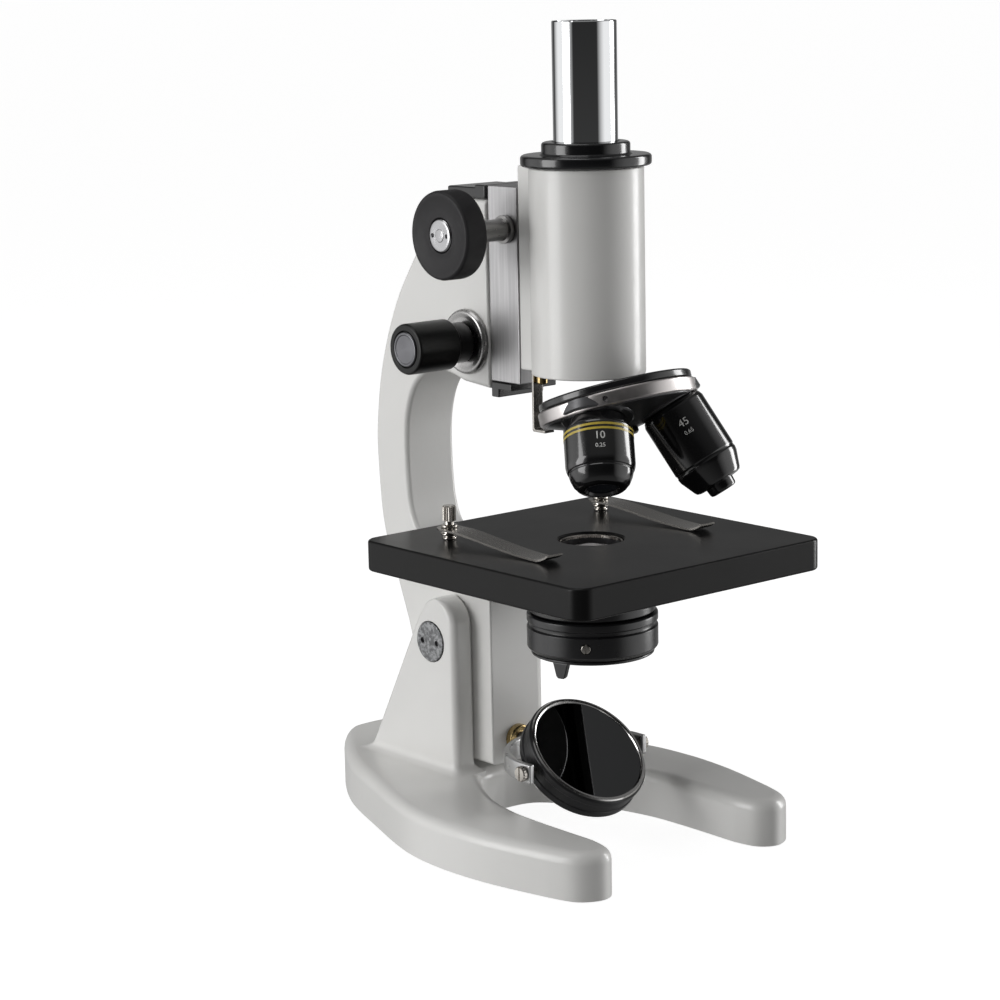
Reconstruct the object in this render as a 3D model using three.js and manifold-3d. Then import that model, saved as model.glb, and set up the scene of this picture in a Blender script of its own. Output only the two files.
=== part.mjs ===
// A student's upright microscope: horseshoe stand, tilting limb, square stage, mirror,
// coarse and fine focus, body tube with drawtube, and a three-place nosepiece.
// Millimetres, +Z up. Each piece is placed in the instrument's own axes, whose origin is
// where the optical axis meets the stage's top face, with the stage's front towards -Y.
// The last group moves that origin to the middle of the footprint, on the table.

import * as THREE from 'three';
import { mergeVertices } from 'three/addons/utils/BufferGeometryUtils.js';
import Module from 'manifold-3d';

const wasm = await Module();
wasm.setup();

// ---------- driving dimensions ----------
const GAP = 0.3; // clearance between pieces that meet
const FINE_SIDES = 32; // sides of a large turned piece
const PLAIN_SIDES = 20; // sides of a middling turned piece
const SMALL_SIDES = 12; // sides of screws and pins

const TABLE = -125; // level of the table below the stage's top
const STAGE_SIDE = 130;
const STAGE_THICK = 12.5;
const STAGE_PLATE = 5.5; // the plate above the stage's hollow underside
const STAGE_CORNER = 7;
const STAGE_HOLE = 13;
const TANG = { halfWidth: 5, front: 50, back: 60, bottom: -34 }; // stage's tongue in the limb
const SET_SCREW = { y: 55, z: -26, radius: 1.6 };

const HEEL_BACK = 152; // rearmost point of the base
const BASE_TOP = -105;
const BASE_FLOOR = TABLE + 1; // underside of the casting, above its pads
const BASE_ROUND = 5; // rounding of the base's upper edge
const BASE_WALL = 7;
const BASE_ROOF = 8;
const PAD = { radius: 6, boss: 9, recess: 2 };
const PAD_PLACES = { heel_pad: [0, 132], left_pad: [-50, -36], right_pad: [50, -36] };

const CHEEK_INNER = 13.4;
const CHEEK_OUTER = 24.4;
const PIVOT = { y: 73, z: -50.7, bolt: 5, capRadius: 8.4, capSink: 1.5, capThick: 2.2 };

const LIMB_HALF = 13; // half the limb's width
const LIMB_ROUND = 1.5;
const HEAD_FRONT = 45.5;
const HEAD_FOOT = 56.5;
const HEAD_TOP = 132.3;
const TAIL_FRONT = 48;
const TAIL_FOOT = -101.4;

const BLOCK = { half: 12, front: 27.4, back: 45.2, bottom: 59.9, top: 138 };
const COARSE = { y: 34.2, z: 121.2, face: 46.2, radius: 17.4, thick: 10.5, cap: 6.8 };
const PINION = { module: 0.7, teeth: 12, half: 5, slack: 0.25, bore: 2.9, shaft: 2.6, sleeve: 4.35 };
const PITCH_RADIUS = (PINION.module * PINION.teeth) / 2;
const RACK_PITCH_Y = COARSE.y - PITCH_RADIUS;
const RACK = { half: 4, back: 25.3, bottom: 72, top: 144 };
const FINE = { y: 58, z: 74.7, face: 45.4, radius: 10.2, neck: 8.2, cap: 6.3, shaft: 3, worm: 5 };

const TUBE = { radius: 22.4, bore: 14.5, bottom: 66.1, top: 146.6, seat: 72, lightBore: 10 };
const BOSS = { half: 12, back: 27, grooveFloor: 25, grooveHalf: 4.3 };
const NECK_RADIUS = 13;
const FLANGE = { radius: 25.4, top: 151.3, collar: 17.2, collarTop: 156.2, spigot: 14.2, foot: 138 };
const DRAWTUBE = { radius: 12.5, bore: 11.65, bottom: 78, top: 202 };

const NOSE_TILT = THREE.MathUtils.degToRad(19); // lean of the turret's axis
const NOSE_TURN = THREE.MathUtils.degToRad(-10); // turret stands a little off its click
const NOSE_CIRCLE = 17.4; // objectives' circle
const NOSE_CENTRE = new THREE.Vector3(0, -NOSE_CIRCLE * Math.cos(NOSE_TILT), 56);
const RIM = { radius: 31.3, half: 2.7 };
const PLATE = { radius: 30.2, near: 3.0, far: 6.2 };
const SHOULDER = 6; // objective's seat, measured down its own axis
const SEAT_BORE = 9.4;
const OBJECTIVE_THREAD = 9.1;
const DOME_DEPTH =
  SHOULDER * Math.cos(NOSE_TILT) + (NOSE_CIRCLE + SHOULDER * Math.sin(NOSE_TILT)) * Math.tan(NOSE_TILT);

const CLIP = { x: 40.6, y: 38.8, rise: 4.2, thick: 0.8, half: 5.8, reach: 63 };
const CLIP_PIN = { root: 2, shoulder: 2.9, neck: 1.5, neckTop: 10.5, head: 2.7, headTop: 13.9 };
const CONDENSER = { lensBore: 12, snout: 12.7, radius: 25.2, bottom: -28.7, bore: 21 };
const IRIS = { radius: 26.2, top: -29, bottom: -44.3, plate: 1.2, leverTurn: 196, leverDrop: 6.4 };
const MIRROR = { y: 7, z: -91.5, radius: 26, half: 6, web: 2, seat: 23.9, tilt: 41.5 };
const FORK = { inner: 29.2, outer: 31.8, halfHeight: 4, stem: 2.9, stemEnd: 60 };

const FOOTPRINT_MIDDLE = (HEEL_BACK - STAGE_SIDE / 2) / 2;

// ---------- finishes ----------
const finish = (color, roughness, metalness) =>
  new THREE.MeshStandardMaterial({ color, roughness, metalness });

const enamel = () => finish(0xd9d9d4, 0.45, 0.0);
const blackEnamel = () => finish(0x17181a, 0.3, 0.1);
const blackKnob = () => finish(0x1d1d20, 0.5, 0.0);
const steel = () => finish(0xb4b3b5, 0.28, 1.0);
const darkSteel = () => finish(0x606366, 0.4, 0.9);
const chrome = () => finish(0xe8e9ea, 0.08, 1.0);
const aluminium = () => finish(0xa9abb0, 0.35, 0.9);
const brass = () => finish(0xa88b52, 0.35, 1.0);
const rubber = () => finish(0x202020, 0.9, 0.0);
const glass = () => finish(0xcfd8dc, 0.05, 0.1);
const silvered = () => finish(0x2b2c2f, 0.04, 1.0);

// ---------- shape helpers ----------
const WELD = 1e-4;

function solidOf(geometry) {
  const bare = geometry.index ? geometry.toNonIndexed() : geometry.clone();
  bare.deleteAttribute('normal');
  bare.deleteAttribute('uv');
  const welded = mergeVertices(bare, WELD);
  const corners = welded.index.array;
  const kept = [];
  for (let i = 0; i < corners.length; i += 3) {
    const [a, b, c] = corners.slice(i, i + 3);
    if (a !== b && b !== c && c !== a) kept.push(a, b, c);
  }
  return new wasm.Manifold(
    new wasm.Mesh({
      numProp: 3,
      vertProperties: Float32Array.from(welded.attributes.position.array),
      triVerts: Uint32Array.from(kept),
    }),
  );
}

function geometryOf(solid) {
  const mesh = solid.getMesh();
  const geometry = new THREE.BufferGeometry();
  geometry.setAttribute('position', new THREE.BufferAttribute(mesh.vertProperties, 3));
  geometry.setIndex(new THREE.BufferAttribute(mesh.triVerts, 1));
  geometry.computeVertexNormals();
  return geometry;
}

const join = (first, ...others) =>
  geometryOf(others.reduce((whole, other) => whole.add(solidOf(other)), solidOf(first)));

const cut = (first, ...tools) =>
  geometryOf(tools.reduce((rest, tool) => rest.subtract(solidOf(tool)), solidOf(first)));

const common = (first, second) => geometryOf(solidOf(first).intersect(solidOf(second)));

// Turns a profile of [radius, height] pairs, listed anticlockwise, about +Z.
function turned(profile, sides = PLAIN_SIDES) {
  const points = profile.map(([radius, height]) => new THREE.Vector2(radius, height));
  return new THREE.LatheGeometry(points, sides).rotateX(Math.PI / 2);
}

const rod = (radius, from, to, sides = SMALL_SIDES) =>
  turned([[0, from], [radius, from], [radius, to], [0, to]], sides);

const ring = (inner, outer, from, to, sides = PLAIN_SIDES) =>
  turned([[inner, from], [outer, from], [outer, to], [inner, to], [inner, from]], sides);

// Lays a piece made about +Z along +X, or along +Y.
const alongX = (geometry) => geometry.rotateY(Math.PI / 2);
const alongY = (geometry) => geometry.rotateX(-Math.PI / 2);

const box = (x0, x1, y0, y1, z0, z1) =>
  new THREE.BoxGeometry(x1 - x0, y1 - y0, z1 - z0).translate((x0 + x1) / 2, (y0 + y1) / 2, (z0 + z1) / 2);

// Extrudes an outline drawn in the (y, z) plane along X, between -half and +half.
function sideways(outline, half, round = 0, curveSegments = 3) {
  const geometry = new THREE.ExtrudeGeometry(outline, {
    depth: 2 * (half - round),
    curveSegments,
    bevelEnabled: round > 0,
    bevelSize: round,
    bevelThickness: round,
    bevelOffset: -round,
    bevelSegments: 1,
  });
  geometry.translate(0, 0, round - half);
  const [x, y, z] = [new THREE.Vector3(0, 1, 0), new THREE.Vector3(0, 0, 1), new THREE.Vector3(1, 0, 0)];
  return geometry.applyMatrix4(new THREE.Matrix4().makeBasis(x, y, z));
}

function polygon(points) {
  return new THREE.Shape(points.map(([x, y]) => new THREE.Vector2(x, y)));
}

const vectors = (points) => points.map(([x, y]) => new THREE.Vector2(x, y));

function piece(name, geometry, material) {
  const mesh = new THREE.Mesh(geometry, material);
  mesh.name = name;
  return mesh;
}

function assembly(...members) {
  const group = new THREE.Group();
  group.add(...members.flat());
  return group;
}

const SIDES = [['left', -1], ['right', 1]];

// ---------- stand ----------
function horseshoe() {
  const outline = new THREE.Shape();
  outline.moveTo(-61, -40);
  outline.splineThru(vectors([[-67, -12], [-69, 14], [-66, 40], [-54, 76], [-42, 107], [-27, 132]]));
  outline.bezierCurveTo(-18, 145, -10, HEEL_BACK, 0, HEEL_BACK);
  outline.bezierCurveTo(10, HEEL_BACK, 18, 145, 27, 132);
  outline.splineThru(vectors([[42, 107], [54, 76], [66, 40], [69, 14], [67, -12], [61, -40]]));
  outline.quadraticCurveTo(58, -57, 47, -57);
  outline.quadraticCurveTo(37.5, -57, 37, -44);
  outline.splineThru(vectors([[37, -12], [35.5, 8], [29, 30]]));
  outline.bezierCurveTo(23, 47, 12, 56, 0, 56);
  outline.bezierCurveTo(-12, 56, -23, 47, -29, 30);
  outline.splineThru(vectors([[-35.5, 8], [-37, -12], [-37, -44]]));
  outline.quadraticCurveTo(-37.5, -57, -47, -57);
  outline.quadraticCurveTo(-58, -57, -61, -40);
  return outline;
}

function cheekOutline() {
  const outline = new THREE.Shape();
  outline.moveTo(58, BASE_TOP - 1);
  outline.lineTo(58, -48);
  outline.quadraticCurveTo(58.5, -33, 69, -32);
  outline.quadraticCurveTo(80, -32.5, 88, -44);
  outline.lineTo(111, -88);
  outline.quadraticCurveTo(115, -98, 124, BASE_TOP - 1);
  return outline;
}

function baseCasting() {
  const curveSegments = 3;
  const body = new THREE.ExtrudeGeometry(horseshoe(), {
    depth: BASE_TOP - TABLE,
    curveSegments,
    bevelSize: BASE_ROUND,
    bevelThickness: BASE_ROUND,
    bevelOffset: -BASE_ROUND,
    bevelSegments: 2,
  }).translate(0, 0, TABLE - BASE_ROUND);
  const hollow = new THREE.ExtrudeGeometry(horseshoe(), {
    depth: BASE_TOP - BASE_ROOF - TABLE,
    curveSegments,
    bevelThickness: 0,
    bevelSize: 0,
    bevelOffset: -BASE_WALL,
    bevelSegments: 1,
  }).translate(0, 0, TABLE);
  const below = box(-100, 100, -100, 200, TABLE - 20, BASE_FLOOR);
  const shell = cut(body, hollow, below);

  const bosses = Object.values(PAD_PLACES).map(([x, y]) =>
    rod(PAD.boss, BASE_FLOOR, BASE_TOP - BASE_ROOF + 1, PLAIN_SIDES).translate(x, y, 0),
  );
  const cheekThick = CHEEK_OUTER - CHEEK_INNER;
  const cheekMiddle = (CHEEK_OUTER + CHEEK_INNER) / 2;
  const cheeks = SIDES.map(([, side]) =>
    sideways(cheekOutline(), cheekThick / 2, 1).translate(side * cheekMiddle, 0, 0),
  );
  const padSockets = Object.values(PAD_PLACES).map(([x, y]) =>
    rod(PAD.radius + GAP, BASE_FLOOR - 1, BASE_FLOOR + PAD.recess, SMALL_SIDES).translate(x, y, 0),
  );
  const pivotBore = alongX(rod(PIVOT.bolt + GAP, -CHEEK_OUTER - 1, CHEEK_OUTER + 1, PLAIN_SIDES));
  const capSeats = SIDES.map(([, side]) => {
    const inner = CHEEK_OUTER - PIVOT.capSink;
    const seat = alongX(rod(PIVOT.capRadius + GAP, inner, CHEEK_OUTER + 1, PLAIN_SIDES));
    return (side < 0 ? seat.rotateZ(Math.PI) : seat).translate(0, PIVOT.y, PIVOT.z);
  });
  const whole = join(shell, ...bosses, ...cheeks);
  return cut(whole, ...padSockets, pivotBore.translate(0, PIVOT.y, PIVOT.z), ...capSeats);
}

function pads() {
  return Object.entries(PAD_PLACES).map(([name, [x, y]]) => {
    const pad = rod(PAD.radius, TABLE, BASE_FLOOR + PAD.recess - GAP, SMALL_SIDES).translate(x, y, 0);
    return piece(name, pad, rubber());
  });
}

function pivotBolt() {
  const inner = CHEEK_OUTER - PIVOT.capSink - GAP;
  return alongX(rod(PIVOT.bolt, -inner, inner, PLAIN_SIDES)).translate(0, PIVOT.y, PIVOT.z);
}

function pivotCaps() {
  return SIDES.map(([word, side]) => {
    const start = CHEEK_OUTER - PIVOT.capSink;
    const disc = rod(PIVOT.capRadius, start, start + PIVOT.capThick, PLAIN_SIDES);
    const keyHoles = [-1, 1].map((up) =>
      rod(1.2, start + 1, start + PIVOT.capThick + 1, SMALL_SIDES).translate(0, up * 4.6, 0),
    );
    const cap = alongX(cut(disc, ...keyHoles));
    const turnedCap = side < 0 ? cap.rotateZ(Math.PI) : cap;
    return piece(`pivot_cap_${word}`, turnedCap.translate(0, PIVOT.y, PIVOT.z), darkSteel());
  });
}

const stand = assembly(
  piece('base_casting', baseCasting(), enamel()),
  pads(),
  piece('pivot_bolt', pivotBolt(), steel()),
  pivotCaps(),
);

// ---------- limb ----------
function limbOutline() {
  const shelf = -STAGE_THICK - GAP;
  const outline = new THREE.Shape();
  outline.moveTo(HEAD_FRONT, HEAD_FOOT);
  outline.lineTo(HEAD_FRONT, HEAD_TOP);
  outline.lineTo(68, HEAD_TOP);
  outline.splineThru(
    vectors([[80, 123], [93, 106], [106, 86], [116, 60.5], [120.5, 36], [120.8, 18], [118, -9], [110, -30],
      [103, -48]]),
  );
  outline.lineTo(93, -80);
  outline.quadraticCurveTo(89, TAIL_FOOT, 80, TAIL_FOOT);
  outline.lineTo(TAIL_FRONT, TAIL_FOOT);
  outline.lineTo(TAIL_FRONT, shelf);
  outline.lineTo(84, shelf);
  outline.splineThru(
    vectors([[93, -9], [98, 0], [100, 14], [100.2, 32], [98, 44], [93, 53.5], [85, 59.5], [75, 61], [62, 58]]),
  );
  return outline;
}

function limb() {
  const casting = sideways(limbOutline(), LIMB_HALF, LIMB_ROUND);
  const pivotBore = alongX(rod(PIVOT.bolt + GAP, -20, 20, PLAIN_SIDES)).translate(0, PIVOT.y, PIVOT.z);
  const fineBore = alongX(rod(FINE.shaft + GAP, -20, 20)).translate(0, FINE.y, FINE.z);
  const fineChamber = box(-6, 6, HEAD_FRONT - 5, FINE.y + 7.5, FINE.z - 7, FINE.z + 14);
  const tangSlot = box(
    -TANG.halfWidth - GAP, TANG.halfWidth + GAP, TANG.front - GAP, TANG.back + GAP, TANG.bottom - GAP, 0,
  );
  const screwHole = alongX(rod(SET_SCREW.radius + GAP, -20, 0)).translate(0, SET_SCREW.y, SET_SCREW.z);
  const bushBore = alongY(rod(4.3 + GAP, TAIL_FRONT - 5, 63)).translate(0, 0, MIRROR.z);
  return cut(casting, pivotBore, fineBore, fineChamber, tangSlot, screwHole, bushBore);
}

function headCover() {
  const bottom = HEAD_TOP + GAP;
  const lid = box(-LIMB_HALF, LIMB_HALF, HEAD_FRONT, 69, bottom, bottom + 4.3);
  const lip = box(-LIMB_HALF, LIMB_HALF, HEAD_FRONT, 52, bottom + 4, bottom + 5.4);
  return join(lid, lip);
}

function escutcheons() {
  return SIDES.map(([word, side]) => {
    const start = LIMB_HALF + GAP;
    const disc = turned(
      [[FINE.shaft + GAP, start], [13.2, start], [13.2, start + 1.6], [12, start + 2.6], [FINE.neck + 1, start + 1.8],
        [FINE.shaft + GAP, start + 1.8], [FINE.shaft + GAP, start]],
    );
    const laid = alongX(disc);
    const faced = side < 0 ? laid.rotateZ(Math.PI) : laid;
    return piece(`fine_escutcheon_${word}`, faced.translate(0, FINE.y, FINE.z), steel());
  });
}

function roundedSquare(side, corner) {
  const h = side / 2;
  const shape = new THREE.Shape();
  shape.moveTo(h, -h + corner);
  for (const [x, y, start] of [[1, 1, 0], [-1, 1, 90], [-1, -1, 180], [1, -1, 270]]) {
    const from = THREE.MathUtils.degToRad(start);
    shape.absarc(x * (h - corner), y * (h - corner), corner, from, from + Math.PI / 2);
  }
  return shape;
}

function stage() {
  const round = 0.8;
  const slab = new THREE.ExtrudeGeometry(roundedSquare(STAGE_SIDE, STAGE_CORNER), {
    depth: STAGE_THICK - 2 * round,
    curveSegments: 6,
    bevelSize: round,
    bevelThickness: round,
    bevelOffset: -round,
    bevelSegments: 1,
  }).translate(0, 0, round - STAGE_THICK);
  const inside = STAGE_SIDE / 2 - 6;
  const hollow = box(-inside, inside, -inside, 42, -STAGE_THICK - 1, -STAGE_PLATE);
  const hole = rod(STAGE_HOLE, -STAGE_THICK - 1, 1, FINE_SIDES);
  const pinHoles = SIDES.map(([, side]) =>
    rod(CLIP_PIN.root + GAP, -STAGE_THICK - 1, 1).translate(side * CLIP.x, CLIP.y, 0),
  );
  const tang = box(-TANG.halfWidth, TANG.halfWidth, TANG.front, TANG.back, TANG.bottom, -STAGE_THICK + 1);
  const tangHole = alongX(rod(SET_SCREW.radius + GAP, -20, 0)).translate(0, SET_SCREW.y, SET_SCREW.z);
  return cut(join(slab, tang), hollow, hole, ...pinHoles, tangHole);
}

function stageSetScrew() {
  return alongX(rod(SET_SCREW.radius, -LIMB_HALF + 0.6, -1)).translate(0, SET_SCREW.y, SET_SCREW.z);
}

function clipPins() {
  return SIDES.map(([word, side]) => {
    const { root, shoulder, neck, neckTop } = CLIP_PIN;
    const top = CLIP.rise - GAP;
    const pin = turned(
      [[0, -8], [root, -8], [root, GAP], [shoulder, GAP], [shoulder, top], [neck, top], [neck, neckTop],
        [0, neckTop]],
      SMALL_SIDES,
    );
    return piece(`clip_pin_${word}`, pin.translate(side * CLIP.x, CLIP.y, 0), steel());
  });
}

function condenserMount() {
  const { lensBore, snout, radius, bottom, bore } = CONDENSER;
  const roof = -STAGE_PLATE - GAP;
  return turned(
    [[lensBore, -10], [bore, -10], [bore, bottom], [radius, bottom], [radius, roof], [snout, roof], [snout, -1.5],
      [lensBore, -1.5], [lensBore, -10]],
    FINE_SIDES,
  );
}

function condenserLens() {
  const radius = CONDENSER.lensBore - GAP;
  return turned([[0, -8.5], [radius, -8.5], [radius, -4], [radius * 0.7, -3], [radius * 0.35, -2.4], [0, -2.2]]);
}

const irisScrewTurn = THREE.MathUtils.degToRad(222);

function irisHousing() {
  const { radius, top, bottom } = IRIS;
  const spigot = CONDENSER.bore - 0.4;
  const cup = turned(
    [[14, bottom], [radius - 1.2, bottom], [radius, bottom + 1.2], [radius, top], [spigot, top], [spigot, top + 5],
      [18, top + 5], [18, bottom + 4], [14, bottom + 4], [14, bottom]],
    FINE_SIDES,
  );
  const screwHole = alongX(rod(2.1, 17, 30)).rotateZ(irisScrewTurn).translate(0, 0, -38.7);
  return cut(cup, screwHole);
}

function irisScrew() {
  return alongX(rod(1.8, 19, IRIS.radius + 0.4)).rotateZ(irisScrewTurn).translate(0, 0, -38.7);
}

function irisLever() {
  const top = IRIS.bottom - GAP;
  const bottom = top - IRIS.plate;
  const plate = ring(8, 24.6, bottom, top, FINE_SIDES);
  const tab = new THREE.ExtrudeGeometry(
    polygon([[-3.4, 0], [-1.8, -IRIS.leverDrop], [1.8, -IRIS.leverDrop], [3.4, 0]]),
    { depth: 2.4, bevelEnabled: false },
  );
  tab.rotateX(Math.PI / 2).rotateZ(Math.PI / 2).translate(22, 0, bottom + 0.4);
  return join(plate, tab.rotateZ(THREE.MathUtils.degToRad(IRIS.leverTurn)));
}

function forkBush() {
  const face = TAIL_FRONT - GAP;
  const bush = turned(
    [[3.2, 62], [3.2, face - 3.4], [6, face - 3.4], [6, face], [4.3, face], [4.3, 62], [3.2, 62]],
    SMALL_SIDES,
  );
  return alongY(bush).translate(0, 0, MIRROR.z);
}

const limbGroup = assembly(
  piece('limb', limb(), enamel()),
  piece('head_cover', headCover(), blackEnamel()),
  escutcheons(),
  piece('stage', stage(), blackEnamel()),
  piece('stage_set_screw', stageSetScrew(), darkSteel()),
  clipPins(),
  piece('condenser_mount', condenserMount(), blackEnamel()),
  piece('condenser_lens', condenserLens(), glass()),
  piece('iris_housing', irisHousing(), blackEnamel()),
  piece('iris_screw', irisScrew(), steel()),
  piece('iris_lever', irisLever(), blackEnamel()),
  piece('fork_bush', forkBush(), brass()),
);

// ---------- stage clips ----------
// Leaf seen from the side: level at the pin, bowed down to the stage, then turned up.
function leafSide() {
  const { rise, thick, reach, half } = CLIP;
  const under = [[half, rise], [-9, rise], [-26, rise - 1.6], [-42, rise - 3.2], [5 - reach, 0.4], [-reach, 2.6]];
  const over = under.map(([y, z]) => [y, z + thick]).reverse();
  return polygon([...under, ...over]);
}

function clipLeaves() {
  const { half, reach, rise } = CLIP;
  const plan = new THREE.Shape();
  plan.moveTo(-half, -reach - 1);
  plan.lineTo(half, -reach - 1);
  plan.lineTo(half, 0);
  plan.absarc(0, 0, half, 0, Math.PI);
  const blank = new THREE.ExtrudeGeometry(plan, { depth: 20, curveSegments: 8, bevelEnabled: false });
  blank.translate(0, 0, -5);
  const hole = rod(CLIP_PIN.neck + GAP, 0, rise + 5);
  return SIDES.map(([word, side]) => {
    const leaf = cut(common(sideways(leafSide(), half), blank), hole);
    return piece(`clip_leaf_${word}`, leaf.translate(side * CLIP.x, CLIP.y, 0), steel());
  });
}

function clipScrews() {
  const { neck, neckTop, head, headTop } = CLIP_PIN;
  const bottom = CLIP.rise + CLIP.thick + GAP;
  return SIDES.map(([word, side]) => {
    const screw = turned(
      [[0, neckTop + GAP], [neck + GAP, neckTop + GAP], [neck + GAP, bottom], [head, bottom], [head, headTop - 0.5],
        [head - 0.5, headTop], [0, headTop]],
      SMALL_SIDES,
    );
    return piece(`clip_screw_${word}`, screw.translate(side * CLIP.x, CLIP.y, 0), steel());
  });
}

// ---------- mirror ----------
function mirrorFork() {
  const { inner, outer, halfHeight, stem, stemEnd } = FORK;
  const toes = 4;
  const band = new THREE.Shape();
  band.absarc(0, 0, outer, 0, Math.PI);
  band.lineTo(-outer, -toes);
  band.lineTo(-inner, -toes);
  band.lineTo(-inner, 0);
  band.absarc(0, 0, inner, Math.PI, 0, true);
  band.lineTo(inner, -toes);
  band.lineTo(outer, -toes);
  const depth = 2 * halfHeight;
  const strap = new THREE.ExtrudeGeometry(band, { depth, curveSegments: 20, bevelEnabled: false });
  strap.translate(0, 0, -halfHeight);
  const shaft = alongY(rod(stem, inner + 1, stemEnd - MIRROR.y));
  const screwHoles = alongX(rod(1.5, -40, 40));
  return cut(join(strap, shaft), screwHoles).translate(0, MIRROR.y, MIRROR.z);
}

function mirrorScrews() {
  return SIDES.map(([word, side]) => {
    const head = FORK.outer + GAP;
    const screw = alongX(
      turned([[0, 24], [1.2, 24], [1.2, head], [3.2, head], [3.2, head + 1.6], [0, head + 2]], SMALL_SIDES),
    );
    const faced = side < 0 ? screw.rotateZ(Math.PI) : screw;
    return piece(`mirror_screw_${word}`, faced.translate(0, MIRROR.y, MIRROR.z), steel());
  });
}

function mirrorFrame() {
  const { radius, half, web, seat } = MIRROR;
  const cup = turned(
    [[0, -web], [seat, -web], [seat, -half], [radius, -half], [radius, half], [seat, half], [seat, web], [0, web]],
    FINE_SIDES,
  );
  return cut(cup, alongX(rod(1.5, -40, -23.5)), alongX(rod(1.5, 23.5, 40)));
}

function planeMirror() {
  return rod(MIRROR.seat - GAP, MIRROR.web + GAP, MIRROR.half - 0.7, FINE_SIDES);
}

function concaveMirror() {
  const radius = MIRROR.seat - GAP;
  const [back, lip] = [-MIRROR.web - GAP, -MIRROR.half + 0.7];
  const bowl = [0, 0.25, 0.5, 0.75].map((part) => [part * radius, lip + 1.8 * (1 - part * part)]);
  return turned([...bowl, [radius - 0.5, lip], [radius, lip], [radius, back], [0, back]], FINE_SIDES);
}

const mirrorGroup = assembly(
  piece('mirror_frame', mirrorFrame(), blackKnob()),
  piece('plane_mirror', planeMirror(), silvered()),
  piece('concave_mirror', concaveMirror(), silvered()),
);
mirrorGroup.position.set(0, MIRROR.y, MIRROR.z);
mirrorGroup.rotation.x = THREE.MathUtils.degToRad(MIRROR.tilt);

// ---------- fine focus ----------
function slideBlock() {
  const { half, front, back, bottom, top } = BLOCK;
  const body = box(-half, half, front, back, bottom, top);
  const lug = box(-4, 4, back - 1, FINE.y, FINE.z + FINE.worm + 1.8, FINE.z + FINE.worm + 6);
  const wayHalf = RACK.half + GAP + 0.1;
  const rackWay = box(-wayHalf, wayHalf, front - 1, RACK_PITCH_Y + 1.4, bottom - 1, top + 1);
  const sleeveBore = alongX(rod(PINION.sleeve + GAP, -20, 20, PLAIN_SIDES)).translate(0, COARSE.y, COARSE.z);
  const pinionRoom = alongX(rod(PITCH_RADIUS + 1.3, -PINION.half - 0.2, PINION.half + 0.2, PLAIN_SIDES));
  return cut(join(body, lug), rackWay, sleeveBore, pinionRoom.translate(0, COARSE.y, COARSE.z));
}

function slideStop() {
  const { half, front, back, bottom } = BLOCK;
  const top = bottom - GAP;
  const plate = box(-half, half, front + 5.5, back, top - 3, top);
  const lip = box(-half, half, back - 4.5, back, top - 6.2, top - 2);
  return join(plate, lip);
}

function pinionSleeves() {
  return SIDES.map(([word, side]) => {
    const [inner, outer] = [PINION.half + 0.5, COARSE.face - COARSE.thick - GAP];
    const sleeve = alongX(ring(PINION.bore, PINION.sleeve, inner, outer));
    const faced = side < 0 ? sleeve.rotateZ(Math.PI) : sleeve;
    return piece(`pinion_sleeve_${word}`, faced.translate(0, COARSE.y, COARSE.z), steel());
  });
}

function fineShaft() {
  const reach = FINE.face - 6;
  const bar = rod(FINE.shaft, -reach, reach);
  return alongX(join(bar, rod(FINE.worm, -4, 4))).translate(0, FINE.y, FINE.z);
}

function fineKnobs() {
  const inner = LIMB_HALF + GAP + 3;
  return SIDES.flatMap(([word, side]) => {
    const { face, neck, radius, cap, shaft } = FINE;
    const knob = turned(
      [[shaft + GAP, inner], [neck, inner], [neck, inner + 7.5], [radius, inner + 8.8], [radius, face - 0.8],
        [radius - 0.8, face], [cap + 1, face], [cap + 1, face - 1.4], [shaft + GAP, face - 1.4], [shaft + GAP, inner]],
    );
    const disc = rod(cap + 1 - GAP, face - 1.4 + GAP, face + 0.4, PLAIN_SIDES);
    const place = (geometry) => {
      const laid = alongX(geometry);
      return (side < 0 ? laid.rotateZ(Math.PI) : laid).translate(0, FINE.y, FINE.z);
    };
    return [
      piece(`fine_knob_${word}`, place(knob), blackKnob()),
      piece(`fine_cap_${word}`, place(disc), aluminium()),
    ];
  });
}

const fineSlideGroup = assembly(
  piece('slide_block', slideBlock(), steel()),
  piece('slide_stop', slideStop(), blackEnamel()),
  pinionSleeves(),
);
const fineDriveGroup = assembly(piece('fine_shaft', fineShaft(), steel()), fineKnobs());

// ---------- coarse focus ----------
// A gear outline whose space between two teeth faces -Y, where the rack lies.
function pinionOutline() {
  const { module, teeth, slack } = PINION;
  const pitchHalf = (Math.PI * module) / 4 - slack / 2;
  const steps = [[-0.9, 0.24], [0, 0], [0.6, -0.2], [0.6, -0.2], [0, 0], [-0.9, 0.24]];
  const points = [];
  for (let tooth = 0; tooth < teeth; tooth += 1) {
    const middle = ((tooth + 0.5) / teeth) * 2 * Math.PI - Math.PI / 2;
    steps.forEach(([depth, widening], place) => {
      const side = place < 3 ? -1 : 1;
      const radius = PITCH_RADIUS + depth;
      const angle = middle + (side * (pitchHalf + widening)) / radius;
      points.push([radius * Math.cos(angle), radius * Math.sin(angle)]);
    });
  }
  return polygon(points);
}

function pinionShaft() {
  const reach = COARSE.face - 3.5;
  const gear = sideways(pinionOutline(), PINION.half);
  const shaft = alongX(rod(PINION.shaft, -reach, reach));
  return join(gear, shaft).translate(0, COARSE.y, COARSE.z);
}

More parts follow.
